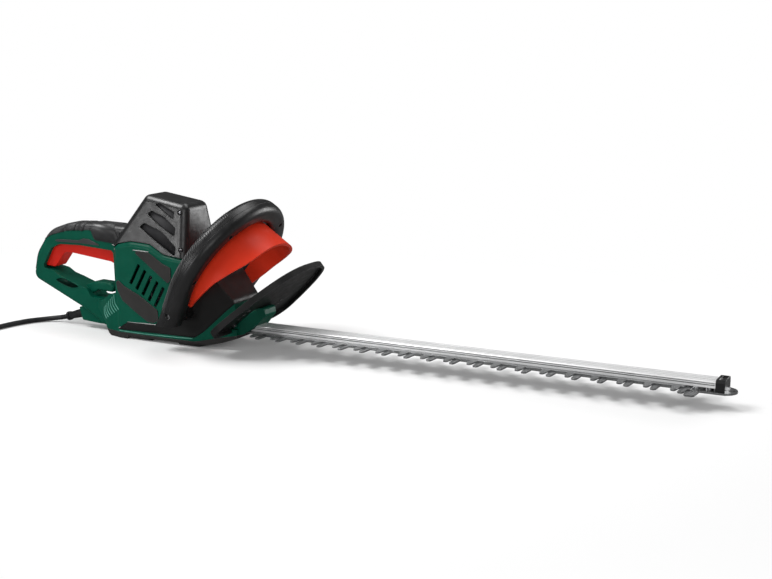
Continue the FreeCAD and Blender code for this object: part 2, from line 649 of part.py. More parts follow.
def bow_path():
    """The arch with its feet bent upright where they meet the casing."""
    radius = size("bow_radius")
    tangent = (radius * math.cos(BOW_SPLAY), BOW_CENTRE - radius * math.sin(BOW_SPLAY))
    knee_rise = tangent[1] - (tangent[0] - BOW_SPAN) / math.tan(BOW_SPLAY)
    reach = size("bow_foot_bend") * math.tan(BOW_SPLAY / 2)
    apex_turn = BOW_SPLAY / 2
    bend = size("bow_foot_bend")
    lower = (BOW_SPAN, knee_rise - reach)
    upper = (BOW_SPAN + reach * math.sin(BOW_SPLAY), knee_rise + reach * math.cos(BOW_SPLAY))
    middle = (BOW_SPAN + bend * (1 - math.cos(apex_turn)), lower[1] + bend * math.sin(apex_turn))

    def mirrored(point, side):
        return bow_point(side * point[0], point[1])

    def leg(side):
        return [Part.LineSegment(mirrored((BOW_SPAN, 0), side), mirrored(lower, side)).toShape(),
                Part.Arc(mirrored(lower, side), mirrored(middle, side), mirrored(upper, side)).toShape(),
                Part.LineSegment(mirrored(upper, side), mirrored(tangent, side)).toShape()]

    top = Part.Arc(mirrored(tangent, -1), bow_point(0, BOW_CENTRE + radius), mirrored(tangent, 1))
    return Part.Wire(Part.__sortEdges__(leg(-1) + [top.toShape()] + leg(1)))


def bow_section(sign, wall, floor):
    """Half of the rounded section of the bow, behind (-1) or in front (+1) of its seam."""
    half = BOW_HALF - wall
    depth = (BOW_FRONT if sign == 1 else BOW_DEPTH) - wall
    corner = 11 - wall

    def to_space(u, v):
        return bow_point(-BOW_SPAN + u, 0, sign * v)

    return rounded_wire([(-half, floor, 0), (half, floor, 0), (half, depth, corner),
                         (-half, depth, corner)], to_space)


BOW_WALL = size("bow_wall")
FOOT_CLOSURE = 4
FOOT_LEVEL = 33.5
under_foot = box_between(-FAR, -FAR, -FAR, FAR, FAR, FOOT_LEVEL)
foot_floor = box_between(-FAR, -FAR, FOOT_LEVEL, FAR, FAR, FOOT_LEVEL + FOOT_CLOSURE)
spine = bow_path()
bow_shells = {}
bow_outers = {}
bow_room = []
for label, sign in (("bow_rear_shell", -1), ("bow_front_shell", 1)):
    outer = spine.makePipeShell([bow_section(sign, 0, SEAM)], True, False)
    inner = spine.makePipeShell([bow_section(sign, BOW_WALL, -1)], True, False)
    bow_room.append(spine.makePipeShell([bow_section(sign, -GAP, -1)], True, False))
    bow_outers[sign] = outer
    bow_shells[label] = outer.cut([inner, under_foot]).fuse(outer.common(foot_floor))

cover = body_outer.common(cover_region).cut([body_inner, motor_well, below_sole])
BOSS_REACH = BOW_SPAN + 6
bosses = []
for side in (-1, 1):
    root = Vector(boss_point.x, side * (BODY_HALF - 1.5), boss_point.z)
    boss = cylinder(size("bow_boss_radius"), root, Vector(root.x, side * BOSS_REACH, root.z))
    bosses.append(one(boss.cut(bow_room)))
free("gear_cover", one(cover.fuse(bosses).cut(foot_screw_bores)))

SWITCH_RADIUS = size("bar_switch_radius")
SWITCH_WALL = size("bar_switch_wall")
SWITCH_FOOT = size("bar_switch_foot")
SWITCH_REAR = size("bar_switch_rear")
SWITCH_FRONT = size("bar_switch_front_top")
pivot_rise = SWITCH_FOOT + 7
pivot_out = 6
PIVOT_RADIUS = 2.5
inner_arch = arch_edges(SWITCH_RADIUS, SWITCH_FOOT, SWITCH_REAR)
outer_arch = arch_edges(SWITCH_RADIUS + SWITCH_WALL, SWITCH_FOOT, SWITCH_REAR)
feet = [Part.LineSegment(inner_arch[i].Vertexes[j].Point, outer_arch[i].Vertexes[j].Point).toShape()
        for i, j in ((0, 0), (2, 1))]
arch_wire = Part.Wire(Part.__sortEdges__(inner_arch + outer_arch + feet))
switch_bar = Part.Face(arch_wire).extrude(BOW_OUT * (SWITCH_FRONT - SWITCH_REAR))
front_foot = size("bar_switch_front_foot")
SWITCH_TOP_RISE = BOW_CENTRE + SWITCH_RADIUS + SWITCH_WALL


def bow_side_prism(corners, half_width):
    """A prism over the width of an outline given as rise and distance out of the plane."""
    wire = rounded_wire(corners, lambda rise, out: bow_point(-half_width, rise, out))
    return Part.Face(wire).extrude(Vector(0, 2 * half_width, 0))


band_trim = bow_side_prism([(SWITCH_FOOT - 5, SWITCH_REAR - 2, 0), (SWITCH_FOOT - 5, front_foot - 4, 0),
                            (SWITCH_FOOT + 10, front_foot, 30), (SWITCH_FOOT + 55, front_foot + 15, 80),
                            (SWITCH_TOP_RISE - 20, SWITCH_FRONT, 60), (SWITCH_TOP_RISE + 5, SWITCH_FRONT, 0),
                            (SWITCH_TOP_RISE + 5, SWITCH_REAR - 2, 0)], 110)
switch_bar = switch_bar.common(band_trim)
pivot_inner = arch_points(SWITCH_RADIUS, SWITCH_FOOT)[0][0] - 4
pins = []
pin_holes = []
for side in (-1, 1):
    start = bow_point(side * (pivot_inner + 3), pivot_rise, pivot_out)
    finish = bow_point(side * (pivot_inner + 16), pivot_rise, pivot_out)
    pins.append(cylinder(PIVOT_RADIUS, start, finish))
    pin_holes.append(cylinder(PIVOT_RADIUS + size("running_gap"), bow_point(0, pivot_rise, pivot_out),
                              bow_point(side * (pivot_inner + 30), pivot_rise, pivot_out)))
free("switch_bar", one(switch_bar.cut(pin_holes)))
pivot_stop = [cylinder(PIVOT_RADIUS + size("running_gap"), bow_point(0, pivot_rise, pivot_out),
                       bow_point(side * (pivot_inner + 16.1), pivot_rise, pivot_out)) for side in (-1, 1)]
free("switch_bar_pins", group(pins))


def bow_screw_seats():
    """Screw places on the front of the bow: two in each leg and two near the top."""
    seats = []
    radius = size("bow_radius")
    for side in (-1, 1):
        for turn in (-2, 48):
            angle = math.radians(turn)
            seats.append((side * radius * math.cos(angle), BOW_CENTRE + radius * math.sin(angle)))
    return seats


SHELL_SCREW_RADIUS = 1.6
SHELL_HEAD_RADIUS = 3
HEAD_DEPTH = 2.4
posts = {-1: [], 1: []}
screw_bores = []
head_bores = []
bow_screws = []
for y, rise in bow_screw_seats():
    rear = bow_point(y, rise, -BOW_DEPTH + 2)
    front = bow_point(y, rise, BOW_FRONT - 2)
    seam_rear = bow_point(y, rise, -SEAM)
    seam_front = bow_point(y, rise, SEAM)
    posts[-1].append(cylinder(4.5, rear, seam_rear))
    posts[1].append(cylinder(4.5, seam_front, front))
    screw_bores.append(cylinder(SHELL_SCREW_RADIUS + 0.05, bow_point(y, rise, -9),
                                bow_point(y, rise, BOW_FRONT + 2)))
    head_seat = bow_point(y, rise, BOW_FRONT - 6)
    head_bores.append(cylinder(SHELL_HEAD_RADIUS + 0.2, head_seat, bow_point(y, rise, BOW_FRONT + 2)))
    bow_screws.append(cylinder(SHELL_SCREW_RADIUS, bow_point(y, rise, -8.8), head_seat).fuse(
        cylinder(SHELL_HEAD_RADIUS, head_seat, push(head_seat, BOW_OUT, HEAD_DEPTH))))

foot_screws = []
foot_seats = []
FOOT_HEAD_RADIUS = 4
leg_y = size("bow_radius") * math.cos(BOW_SPLAY) - math.tan(BOW_SPLAY) * (
    BOW_CENTRE - size("bow_radius") * math.sin(BOW_SPLAY) - BOSS_RISE)
for side in (-1, 1):
    head_y = leg_y + BOW_HALF - 6
    inner_end = Vector(boss_point.x, side * (BODY_HALF + 1), boss_point.z)
    head_seat = Vector(boss_point.x, side * head_y, boss_point.z)
    mouth = Vector(boss_point.x, side * (leg_y + BOW_HALF + 5), boss_point.z)
    foot_seats.append(cylinder(FOOT_HEAD_RADIUS + 0.2, head_seat, mouth))
    foot_screws.append(cylinder(BOW_SCREW_RADIUS, inner_end, head_seat).fuse(
        cylinder(FOOT_HEAD_RADIUS, head_seat, head_seat + Vector(0, side * HEAD_DEPTH, 0))))
foot_posts = [cylinder(6.5, Vector(boss_point.x, side * (leg_y - BOW_HALF - 3), boss_point.z),
                       Vector(boss_point.x, side * (leg_y + BOW_HALF + 1), boss_point.z))
              for side in (-1, 1)]
for label, sign in (("bow_rear_shell", -1), ("bow_front_shell", 1)):
    shell = bow_shells[label].fuse(posts[sign] + [p.common(bow_outers[sign]) for p in foot_posts])
    shell = shell.cut(screw_bores + foot_screw_bores + foot_seats + pivot_stop)
    if sign == 1:
        shell = shell.cut(head_bores)
    free(label, one(shell))
free("bow_screws", group(bow_screws + foot_screws))

# ---- hand guard -----------------------------------------------------------------------

GUARD_ROUNDNESS = 0.72
GUARD_POINTS = 17


def guard_slab(inset_by, rear, front):
    """The upper part of a rounded half ellipse, as a slab between two distances out."""
    half = size("guard_half_width") - inset_by
    height = size("guard_height") - inset_by
    foot = size("guard_foot") + inset_by
    start = math.asin((foot / height) ** (1 / GUARD_ROUNDNESS))
    points = []
    for i in range(GUARD_POINTS):
        angle = start + (math.pi - 2 * start) * i / (GUARD_POINTS - 1)
        reach = math.copysign(abs(math.cos(angle)) ** GUARD_ROUNDNESS, math.cos(angle))
        points.append(guard_point(half * reach, height * math.sin(angle) ** GUARD_ROUNDNESS, rear))
    curve = Part.BSplineCurve()
    curve.interpolate(points)
    edges = [curve.toShape(), Part.LineSegment(points[-1], points[0]).toShape()]
    slab = Part.Face(Part.Wire(edges)).extrude(GUARD_OUT * (front - rear))
    corners = [e for e in slab.Edges if abs(e.Length - (front - rear)) < 1e-6]
    return slab.makeFillet(size("guard_corner") - inset_by, corners)


RIM = size("guard_rim")
guard = guard_slab(0, 0, THICK + size("guard_rim_height")).cut(guard_slab(RIM, THICK, FAR))
nose_gate = Part.Face(rounded_wire([(-NOSE_HALF - GAP, 60, 0), (NOSE_HALF + GAP, 60, 0),
                                    (NOSE_HALF + GAP, 148, 8), (-NOSE_HALF - GAP, 148, 8)],
                                   lambda u, v: guard_point(u, v, -5))).extrude(GUARD_OUT * 30)
shoulder_gate = Part.Face(rounded_wire([(-33, 60, 0), (33, 60, 0), (33, 110.5, 2), (-33, 110.5, 2)],
                                       lambda u, v: guard_point(u, v, -5))).extrude(GUARD_OUT * 30)
guard_screws = []
for side in (-1, 1):
    tip, seat = guard_screw_line(side)
    guard_screws.append(cylinder(GUARD_SCREW_RADIUS, tip, seat).fuse(
        cylinder(3.2, seat, push(seat, GUARD_OUT, 2.2))))
free("hand_guard", one(guard.cut([nose_gate, shoulder_gate] + guard_bores)))
free("guard_screws", group(guard_screws))


# ---- blades, bar and their fasteners --------------------------------------------------

def blade(label, sign, foot, tip_width, root_width):
    """One toothed blade. Its sign says which way it rests from the middle of its stroke."""
    shift = "%s * blade_rest_offset" % ("-1" if sign < 0 else "1")
    rest = "gear_x_place + " + shift
    offset = "0" if sign < 0 else "2 * blade_rest_offset"
    yoke_reach = "(eccentric_radius + 2 * eccentricity + 2 * gap)"
    yoke_half = "(eccentric_radius + eccentricity + 2 * gap)"
    body = new_body(label)
    rest = rest.replace("gear_x_place", GEAR_X)
    spine_start = "spine_start + " + offset
    spine_end = "first_tooth_x + tooth_pitch * (tooth_pairs - 1) + spine_end_margin + " + offset
    yoke_front = "%s + %s + yoke_wall" % (rest, yoke_reach)
    yoke_rear = "%s - %s - yoke_wall" % (rest, yoke_reach)
    yoke_side = "%s + yoke_wall" % yoke_half
    outline = [(yoke_rear, "-(%s)" % yoke_side), (yoke_front, "-(%s)" % yoke_side),
               (yoke_front, "-neck_half_width"), (spine_start + " - 8", "-neck_half_width"),
               (spine_start, "-spine_half_width"), (spine_end, "-spine_half_width"),
               (spine_end, "spine_half_width"), (spine_start, "spine_half_width"),
               (spine_start + " - 8", "neck_half_width"), (yoke_front, "neck_half_width"),
               (yoke_front, yoke_side), (yoke_rear, yoke_side)]
    pad(body, label + "_strip", "XY_Plane", foot, "blade_thickness", [outline])
    window = rectangle("%s - %s" % (rest, yoke_reach), "-" + yoke_half,
                       "%s + %s" % (rest, yoke_reach), yoke_half)
    slot_reach = "(bushing_radius + eccentricity + gap)"
    slot_half = "bushing_radius + gap"
    neck_slot = rectangle("bar_screw_rear_x + %s - %s" % (shift, slot_reach), "-(%s)" % slot_half,
                          "bar_screw_front_x + %s + %s" % (shift, slot_reach), slot_half)
    pocket(body, label + "_window", "XY_Plane", foot + " + blade_thickness", "blade_thickness",
           [window, neck_slot])
    bolt_slot = rectangle("bolt_first_x + %s - %s" % (shift, slot_reach), "-(%s)" % slot_half,
                          "bolt_first_x + %s + %s" % (shift, slot_reach), slot_half)
    slots = pocket(body, label + "_slot", "XY_Plane", foot + " + blade_thickness", "blade_thickness",
                   [bolt_slot])
    repeat_along_x(body, label + "_slots", [slots], "bolt_pitch", "bolt_count")
    middle = "first_tooth_x + " + offset
    teeth = []
    for side in ("", "-"):
        inner = side + "(spine_half_width - 1)"
        outer = side + "tooth_reach"
        shoulder = side + "(tooth_reach - 3)"
        teeth.append([("%s - %s / 2" % (middle, root_width), inner),
                      ("%s + %s / 2" % (middle, root_width), inner),
                      ("%s + %s / 2" % (middle, tip_width), shoulder),
                      ("%s + %s / 2 - 1.5" % (middle, tip_width), outer),
                      ("%s - %s / 2 + 1.5" % (middle, tip_width), outer),
                      ("%s - %s / 2" % (middle, tip_width), shoulder)])
    pair = pad(body, label + "_tooth", "XY_Plane", foot, "blade_thickness", teeth)
    repeat_along_x(body, label + "_teeth", [pair], "tooth_pitch", "tooth_pairs")


GEAR_X = "motor_x + (pinion_teeth + gear_teeth) * gear_module / 2"
gear_centre = value_of(GEAR_X)
LOWER_FOOT = "blade_level - blade_gap / 2 - blade_thickness"
UPPER_FOOT = "blade_level + blade_gap / 2"
BAR_FOOT_TEXT = "blade_level + blade_gap * 3 / 2 + blade_thickness"
BAR_TOP_TEXT = BAR_FOOT_TEXT + " + bar_height"
blade("upper_blade", -1, UPPER_FOOT, "tooth_tip_width", "tooth_root_width")
blade("lower_blade", 1, LOWER_FOOT, "(tooth_tip_width + 0.5)", "(tooth_tip_width + 2)")

bar = new_body("blade_bar")
GROOVE = "0.8"
bar_side = [("-bar_half_width", "foot"), ("-bar_half_width", "foot + 2"),
            ("-bar_half_width + GROOVE", "foot + 2.4"), ("-bar_half_width", "foot + 2.8"),
            ("-bar_half_width", "foot + 4.6"), ("-bar_half_width + GROOVE", "foot + 5"),
            ("-bar_half_width", "foot + 5.4"), ("-bar_half_width", "foot + bar_height - 1"),
            ("-bar_half_width + 1", "foot + bar_height"), ("-bar_half_width + 4", "foot + bar_height"),
            ("-bar_half_width + 4.5", "foot + bar_height - GROOVE"),
            ("-bar_half_width + 5", "foot + bar_height")]
bar_side = [(y.replace("GROOVE", GROOVE), z.replace("foot", BAR_FOOT_TEXT).replace("GROOVE", GROOVE))
            for y, z in bar_side]
mirror_side = [("-(%s)" % y, z) for y, z in reversed(bar_side)]
pad(bar, "bar_extrusion", "YZ_Plane", "bar_start", "bar_end - bar_start", [bar_side + mirror_side])
BOLT_DEPTH = "5"
thread = pocket(bar, "bolt_hole", "XY_Plane", BAR_FOOT_TEXT, BOLT_DEPTH + " + 0.4", reverse=True,
                circles=[("bolt_first_x", "0", "bolt_radius")])
repeat_along_x(bar, "bolt_holes", [thread], "bolt_pitch", "bolt_count")
pocket(bar, "fixing_holes", "XY_Plane", BAR_TOP_TEXT, "bar_height",
       circles=[("bar_screw_rear_x", "0", "bolt_radius"), ("bar_screw_front_x", "0", "bolt_radius")])
pocket(bar, "end_hole", "XY_Plane", BAR_FOOT_TEXT, BOLT_DEPTH + " + 0.4", reverse=True,
       circles=[("end_bolt_x", "0", "bolt_radius")])


def compound(label, items):
    item = doc.addObject("Part::Compound", label + "_set")
    item.Links = items
    return node(item, label)


WASHER_TOP = LOWER_FOOT + " - blade_gap"
bolts = []
washers = []
bushings = []
for i in range(int(size("bolt_count"))):
    x = "bolt_first_x + %d * bolt_pitch" % i
    head_foot = WASHER_TOP + " - washer_thickness - bolt_head_height"
    bolts.append(joined("bolt%d" % i, rod("bolt_head%d" % i, "bolt_head_radius", "bolt_head_height",
                                          x, "0", head_foot),
                        rod("bolt_shank%d" % i, "bolt_radius - 0.05",
                            "2 * blade_thickness + 3 * blade_gap + washer_thickness + bolt_head_height + 5",
                            x, "0", head_foot)))
    washers.append(ring("washer%d" % i, "washer_radius", "bolt_radius", "washer_thickness",
                        x, "0", WASHER_TOP + " - washer_thickness"))
    bushings.append(ring("bushing%d" % i, "bushing_radius", "bolt_radius",
                         "2 * blade_thickness + 3 * blade_gap", x, "0", WASHER_TOP))
compound("blade_washers", washers)

PAD_TOP = LOWER_FOOT + " - 0.25"
PLATE_FOOT = PAD_TOP + " - end_plate_thickness"
SPACER_HEIGHT = "(2 * blade_thickness + 2 * blade_gap + 0.25)"
for i, x in enumerate(("bar_screw_rear_x", "bar_screw_front_x")):
    bushings.append(ring("neck_bushing%d" % i, "bushing_radius", "bolt_radius", SPACER_HEIGHT, x, "0",
                         PAD_TOP))
compound("blade_bushings", bushings)

end_plate = new_body("end_plate")
pad(end_plate, "plate_strip", "XY_Plane", PLATE_FOOT, "end_plate_thickness",
    [rectangle("end_plate_start", "-end_plate_half_width", "end_plate_centre", "end_plate_half_width")])
pad(end_plate, "plate_nose", "XY_Plane", PLATE_FOOT, "end_plate_thickness",
    circles=[("end_plate_centre", "0", "end_plate_half_width")])
pad(end_plate, "end_teeth", "XY_Plane", PLATE_FOOT, "end_plate_thickness",
    [[("end_tooth_x - 8", side + "(end_plate_half_width - 1)"),
      ("end_tooth_x + 6", side + "(end_plate_half_width - 1)"),
      ("end_tooth_x + 5", side + "(tooth_reach - 3)"), ("end_tooth_x + 3", side + "tooth_reach"),
      ("end_tooth_x - 5", side + "tooth_reach"), ("end_tooth_x - 7", side + "(tooth_reach - 3)")]
     for side in ("", "-")])
pocket(end_plate, "plate_holes", "XY_Plane", PAD_TOP, "end_plate_thickness",
       circles=[("hang_hole_x", "0", "hang_hole_radius"), ("end_bolt_x", "0", "bolt_radius")])
bolts.append(joined("end_bolt", rod("end_head", "bolt_head_radius", "bolt_head_height", "end_bolt_x", "0",
                                    PLATE_FOOT + " - bolt_head_height"),
                    rod("end_shank", "bolt_radius - 0.05", "end_plate_thickness + bolt_head_height + 9",
                        "end_bolt_x", "0", PLATE_FOOT + " - bolt_head_height")))
compound("blade_bolts", bolts)
node(ring("end_spacer", "bolt_head_radius + 1.4", "bolt_radius", SPACER_HEIGHT + " - 0.02",
          "end_bolt_x", "0", PAD_TOP + " + 0.01"), "end_spacer")

cap = new_body("tip_cap")
CAP_FOOT = PAD_TOP + " + 0.02"
pad(cap, "cap_block", "YZ_Plane", "cap_start", "cap_front - cap_start",
    [[("-cap_half_width", CAP_FOOT), ("cap_half_width", CAP_FOOT), ("cap_half_width", "cap_top - 3"),
      ("cap_half_width - 2", "cap_top"), ("-cap_half_width + 2", "cap_top"),
      ("-cap_half_width", "cap_top - 3")]])
pocket(cap, "cap_socket", "YZ_Plane", "bar_end + 0.1", "bar_end - cap_start + 2",
       [rectangle("-bar_half_width - 0.1", BAR_FOOT_TEXT + " - 0.1", "bar_half_width + 0.1",
                  BAR_TOP_TEXT + " + 0.1")])
pocket(cap, "cap_recess", "XY_Plane", "cap_top", "cap_top - %s - 1.2" % ("(" + BAR_TOP_TEXT + ")"),
       [rectangle("cap_start + 3", "-cap_half_width + 4", "cap_front - 2", "cap_half_width - 4")])

# ---- gearbox casting ------------------------------------------------------------------

box = new_body("gearbox_base")
FLOOR_TOP = "box_foot + floor_thickness"
pad(box, "box_floor", "XY_Plane", "box_foot", "floor_thickness",
    [rectangle("box_rear_x", "-box_half_width", "box_front_x", "box_half_width")])
pad(box, "box_walls", "XY_Plane", FLOOR_TOP, "lid_foot - box_foot - floor_thickness",
    [rectangle("box_rear_x", "-box_half_width", "box_front_x - box_wall", "-box_half_width + box_wall"),
     rectangle("box_rear_x", "box_half_width - box_wall", "box_front_x - box_wall", "box_half_width"),
     rectangle("box_rear_x", "-box_half_width + box_wall", "box_rear_x + box_wall",
               "box_half_width - box_wall")])
pad(box, "front_pad", "XY_Plane", FLOOR_TOP, PAD_TOP + " - box_foot - floor_thickness",
    [rectangle("box_front_x - box_wall", "-neck_half_width", "box_front_x + 20", "neck_half_width")])
pad(box, "front_floor", "XY_Plane", "box_foot", "floor_thickness",
    [rectangle("box_front_x", "-neck_half_width", "box_front_x + 20", "neck_half_width")])
pad(box, "tongue", "XY_Plane", PAD_TOP, "3", [rectangle("box_front_x + 20", "-neck_half_width",
                                                        "pad_front_x", "neck_half_width")])
box.Tip.Reversed = True
pad(box, "pin_boss", "XY_Plane", FLOOR_TOP, "3", circles=[(GEAR_X, "0", "gear_pin_radius + 4")])
pocket(box, "pin_seat", "XY_Plane", FLOOR_TOP + " + 3", "floor_thickness + 1",
       circles=[(GEAR_X, "0", "gear_pin_radius")])
pocket(box, "screw_seats", "XY_Plane", PAD_TOP, "8",
       circles=[("bar_screw_rear_x", "0", "bolt_radius"), ("bar_screw_front_x", "0", "bolt_radius")])

lid = new_body("gearbox_lid")
LID_TOP = "lid_foot + lid_thickness"
FLANGE_FOOT = BAR_TOP_TEXT + " + 0.05"
pad(lid, "lid_plate", "XY_Plane", "lid_foot", "lid_thickness",
    [rectangle("box_rear_x", "-box_half_width", "box_front_x + box_wall", "box_half_width")])
pad(lid, "lid_step", "XY_Plane", FLANGE_FOOT, "lid_foot - (%s)" % FLANGE_FOOT,
    [rectangle("box_front_x", "-bar_half_width", "box_front_x + box_wall", "bar_half_width")])
pad(lid, "lid_flange", "XY_Plane", FLANGE_FOOT, "lid_thickness",
    [rectangle("box_front_x + box_wall", "-bar_half_width", "pad_front_x", "bar_half_width")])
pad(lid, "bearing_boss", "XY_Plane", LID_TOP, "bearing_height",
    circles=[("motor_x", "0", "bearing_outer + 4")])
pocket(lid, "bearing_seat", "XY_Plane", LID_TOP + " + bearing_height", "bearing_height",
       circles=[("motor_x", "0", "bearing_outer")])
pocket(lid, "shaft_way", "XY_Plane", LID_TOP, "lid_thickness",
       circles=[("motor_x", "0", "shaft_radius + 3"), (GEAR_X, "0", "gear_pin_radius")])
pocket(lid, "flange_holes", "XY_Plane", FLANGE_FOOT + " + lid_thickness", "lid_thickness",
       circles=[("bar_screw_rear_x", "0", "bolt_radius"), ("bar_screw_front_x", "0", "bolt_radius")])


def posts_about(name, circle, foot, height):
    """Four round posts at the corners of a square about the motor."""
    rods = []
    for i, (along, aside) in enumerate(((1, 1), (1, -1), (-1, 1), (-1, -1))):
        rods.append(rod("%s%d" % (name, i), "post_radius", height,
                        "motor_x + %d * %s * 0.7071" % (along, circle),
                        "%d * %s * 0.7071" % (aside, circle), foot))
    return rods


lower_posts = posts_about("motor_post", "lower_post_circle", LID_TOP,
                          "stator_foot - lid_foot - lid_thickness")
bar_screws = []
for i, x in enumerate(("bar_screw_rear_x", "bar_screw_front_x")):
    head = FLANGE_FOOT + " + lid_thickness"
    shank_foot = PAD_TOP + " - 4"
    bar_screws.append(joined("bar_screw%d" % i, rod("bar_head%d" % i, "bolt_head_radius",
                                                    "bolt_head_height", x, "0", head),
                             rod("bar_shank%d" % i, "bolt_radius - 0.05",
                                 "%s - (%s) + 0.5" % (head, shank_foot), x, "0", shank_foot)))
compound("bar_screws", bar_screws)
node(rod("gear_pin", "gear_pin_radius - 0.02", LID_TOP + " - box_foot - 2.1", GEAR_X, "0", "box_foot + 2.1"),
     "gear_pin")

# ---- gears ----------------------------------------------------------------------------

PRESSURE = math.radians(20)
PROFILE_SHIFT = 0.3
FLANK_POINTS = 5


def involute(angle):
    return math.tan(angle) - angle


def gear_solid(teeth, shift, phase, thickness, foot, bore, centre_x):
    """A spur gear with true involute flanks and stub teeth."""
    module = size("gear_module")
    pitch = teeth * module / 2
    base = pitch * math.cos(PRESSURE)
    tip = pitch + module * (0.8 + shift)
    root = pitch - module * (1.05 - shift)
    half_pitch = (math.pi / 2 + 2 * shift * math.tan(PRESSURE)) / teeth - size("backlash") / (2 * pitch)
    first = max(base, root)

    def polar(radius, angle):
        return Vector(centre_x + radius * math.cos(angle), radius * math.sin(angle), foot)

    edges = []
    for tooth in range(teeth):
        centre = phase + 2 * math.pi * tooth / teeth
        sides = {}
        for sign in (-1, 1):
            points = []
            for i in range(FLANK_POINTS):
                radius = first + (tip - first) * i / (FLANK_POINTS - 1)
                half = half_pitch + involute(PRESSURE) - involute(math.acos(min(1, base / radius)))
                points.append(polar(radius, centre + sign * half))
            sides[sign] = points
        foot_half = math.atan2(sides[1][0].y, sides[1][0].x - centre_x) - centre
        foot_half = math.remainder(foot_half, 2 * math.pi)
        next_centre = centre + 2 * math.pi / teeth
        for sign in (-1, 1):
            if root < first - 1e-6:
                low = polar(root, centre + sign * foot_half)
                edges.append(Part.LineSegment(low, sides[sign][0]).toShape())
            curve = Part.BSplineCurve()
            curve.interpolate(sides[sign])
            edges.append(curve.toShape())
        edges.append(Part.Arc(sides[-1][-1], polar(tip, centre), sides[1][-1]).toShape())
        edges.append(Part.Arc(polar(min(root, first), centre + foot_half),
                              polar(min(root, first), centre + math.pi / teeth),
                              polar(min(root, first), next_centre - foot_half)).toShape())
    blank = Part.Face(Part.Wire(Part.__sortEdges__(edges))).extrude(Vector(0, 0, thickness))
    return blank.cut(Part.makeCylinder(bore, thickness, Vector(centre_x, 0, foot)))


PINION_TEETH = int(size("pinion_teeth"))
GEAR_TEETH = int(size("gear_teeth"))
FIT = 0.02
BUSH_RADIUS = size("gear_pin_radius") + size("bush_wall")
free("pinion", gear_solid(PINION_TEETH, PROFILE_SHIFT, 0, size("pinion_thickness"), size("pinion_foot"),
                          size("journal_radius") + FIT, size("motor_x")))
free("drive_gear", gear_solid(GEAR_TEETH, -PROFILE_SHIFT, math.pi / GEAR_TEETH, size("gear_thickness"),
                              size("gear_foot"), BUSH_RADIUS + FIT, gear_centre))
LOWER_DISC_FOOT = FLOOR_TOP + " + 4"
node(ring("gear_bush", "gear_pin_radius + bush_wall", "gear_pin_radius + running_gap",
          "gear_foot + gear_thickness - (%s)" % LOWER_DISC_FOOT, GEAR_X, "0", LOWER_DISC_FOOT), "gear_bush")
swing = math.acos(size("blade_rest_offset") / size("eccentricity"))
for label, sign, foot, height in (
        ("upper_eccentric", -1, "blade_level + 0.1", "gear_foot - blade_level - 0.1"),
        ("lower_eccentric", 1, LOWER_DISC_FOOT, "blade_level - 0.1 - (%s)" % LOWER_DISC_FOOT)):
    disc = rod(label + "_disc", "eccentric_radius", height,
               "%s + %d * eccentricity * %.6f" % (GEAR_X, sign, math.cos(swing)),
               "%d * eccentricity * -%.6f" % (sign, math.sin(swing)), foot)
    bore = rod(label + "_bore", "gear_pin_radius + bush_wall + 0.02", height, GEAR_X, "0", foot)
    node(cut(label, disc, bore), label)

# ---- motor ----------------------------------------------------------------------------

node(joined("rotor_shaft", rod("journal_foot", "journal_radius", "lower_bearing_foot - shaft_foot",
                               "motor_x", "0", "shaft_foot"),
            rod("shaft_main", "shaft_radius", "journal_top_start - lower_bearing_foot",
                "motor_x", "0", "lower_bearing_foot"),
            rod("journal_top", "journal_radius", "shaft_top - journal_top_start",
                "motor_x", "0", "journal_top_start")), "rotor_shaft")
node(ring("lower_bearing", "bearing_outer - 0.03", "shaft_radius + running_gap", "bearing_height",
          "motor_x", "0", "lower_bearing_foot"), "lower_bearing")
node(ring("upper_bearing", "upper_bearing_outer", "journal_radius + running_gap", "upper_bearing_height",
          "motor_x", "0", "upper_bearing_foot"), "upper_bearing")

MOTOR_X = size("motor_x")
SHAFT = size("shaft_radius")


def upright(radius, height, foot, x=MOTOR_X, y=0.0):
    return Part.makeCylinder(radius, height, Vector(x, y, foot))


fan_foot = size("fan_foot")
fan_height = size("fan_height")
fan_disc = upright(size("fan_radius"), 1.6, fan_foot)
fan_hub = upright(size("fan_hub_radius"), fan_height, fan_foot)
vane = box_between(size("fan_hub_radius") - 0.5, -0.7, fan_foot + 1, size("fan_radius") - 0.5, 0.7,
                   fan_foot + fan_height - 2)
vane.rotate(Vector(size("fan_hub_radius"), 0, 0), Vector(0, 0, 1), 18)
vanes = []
for i in range(int(size("fan_blades"))):
    turned = vane.copy()
    turned.rotate(Vector(0, 0, 0), Vector(0, 0, 1), i * 360 / size("fan_blades"))
    turned.translate(Vector(MOTOR_X, 0, 0))
    vanes.append(turned)
free("cooling_fan", one(fan_disc.fuse([fan_hub] + vanes).cut(upright(SHAFT + FIT, fan_height, fan_foot))))

stator_foot = size("stator_foot")
stator_height = size("stator_height")
stator_radius = size("stator_radius")
bore_radius = size("stator_bore")
slot_outer = stator_radius - size("stator_back_iron")


def sector(radius, height, foot, half_angle, middle):
    """A pie slice about the motor axis."""
    slice_ = Part.makeCylinder(radius, height, Vector(MOTOR_X, 0, foot), Vector(0, 0, 1), 2 * half_angle)
    slice_.rotate(Vector(MOTOR_X, 0, 0), Vector(0, 0, 1), middle - half_angle)
    return slice_


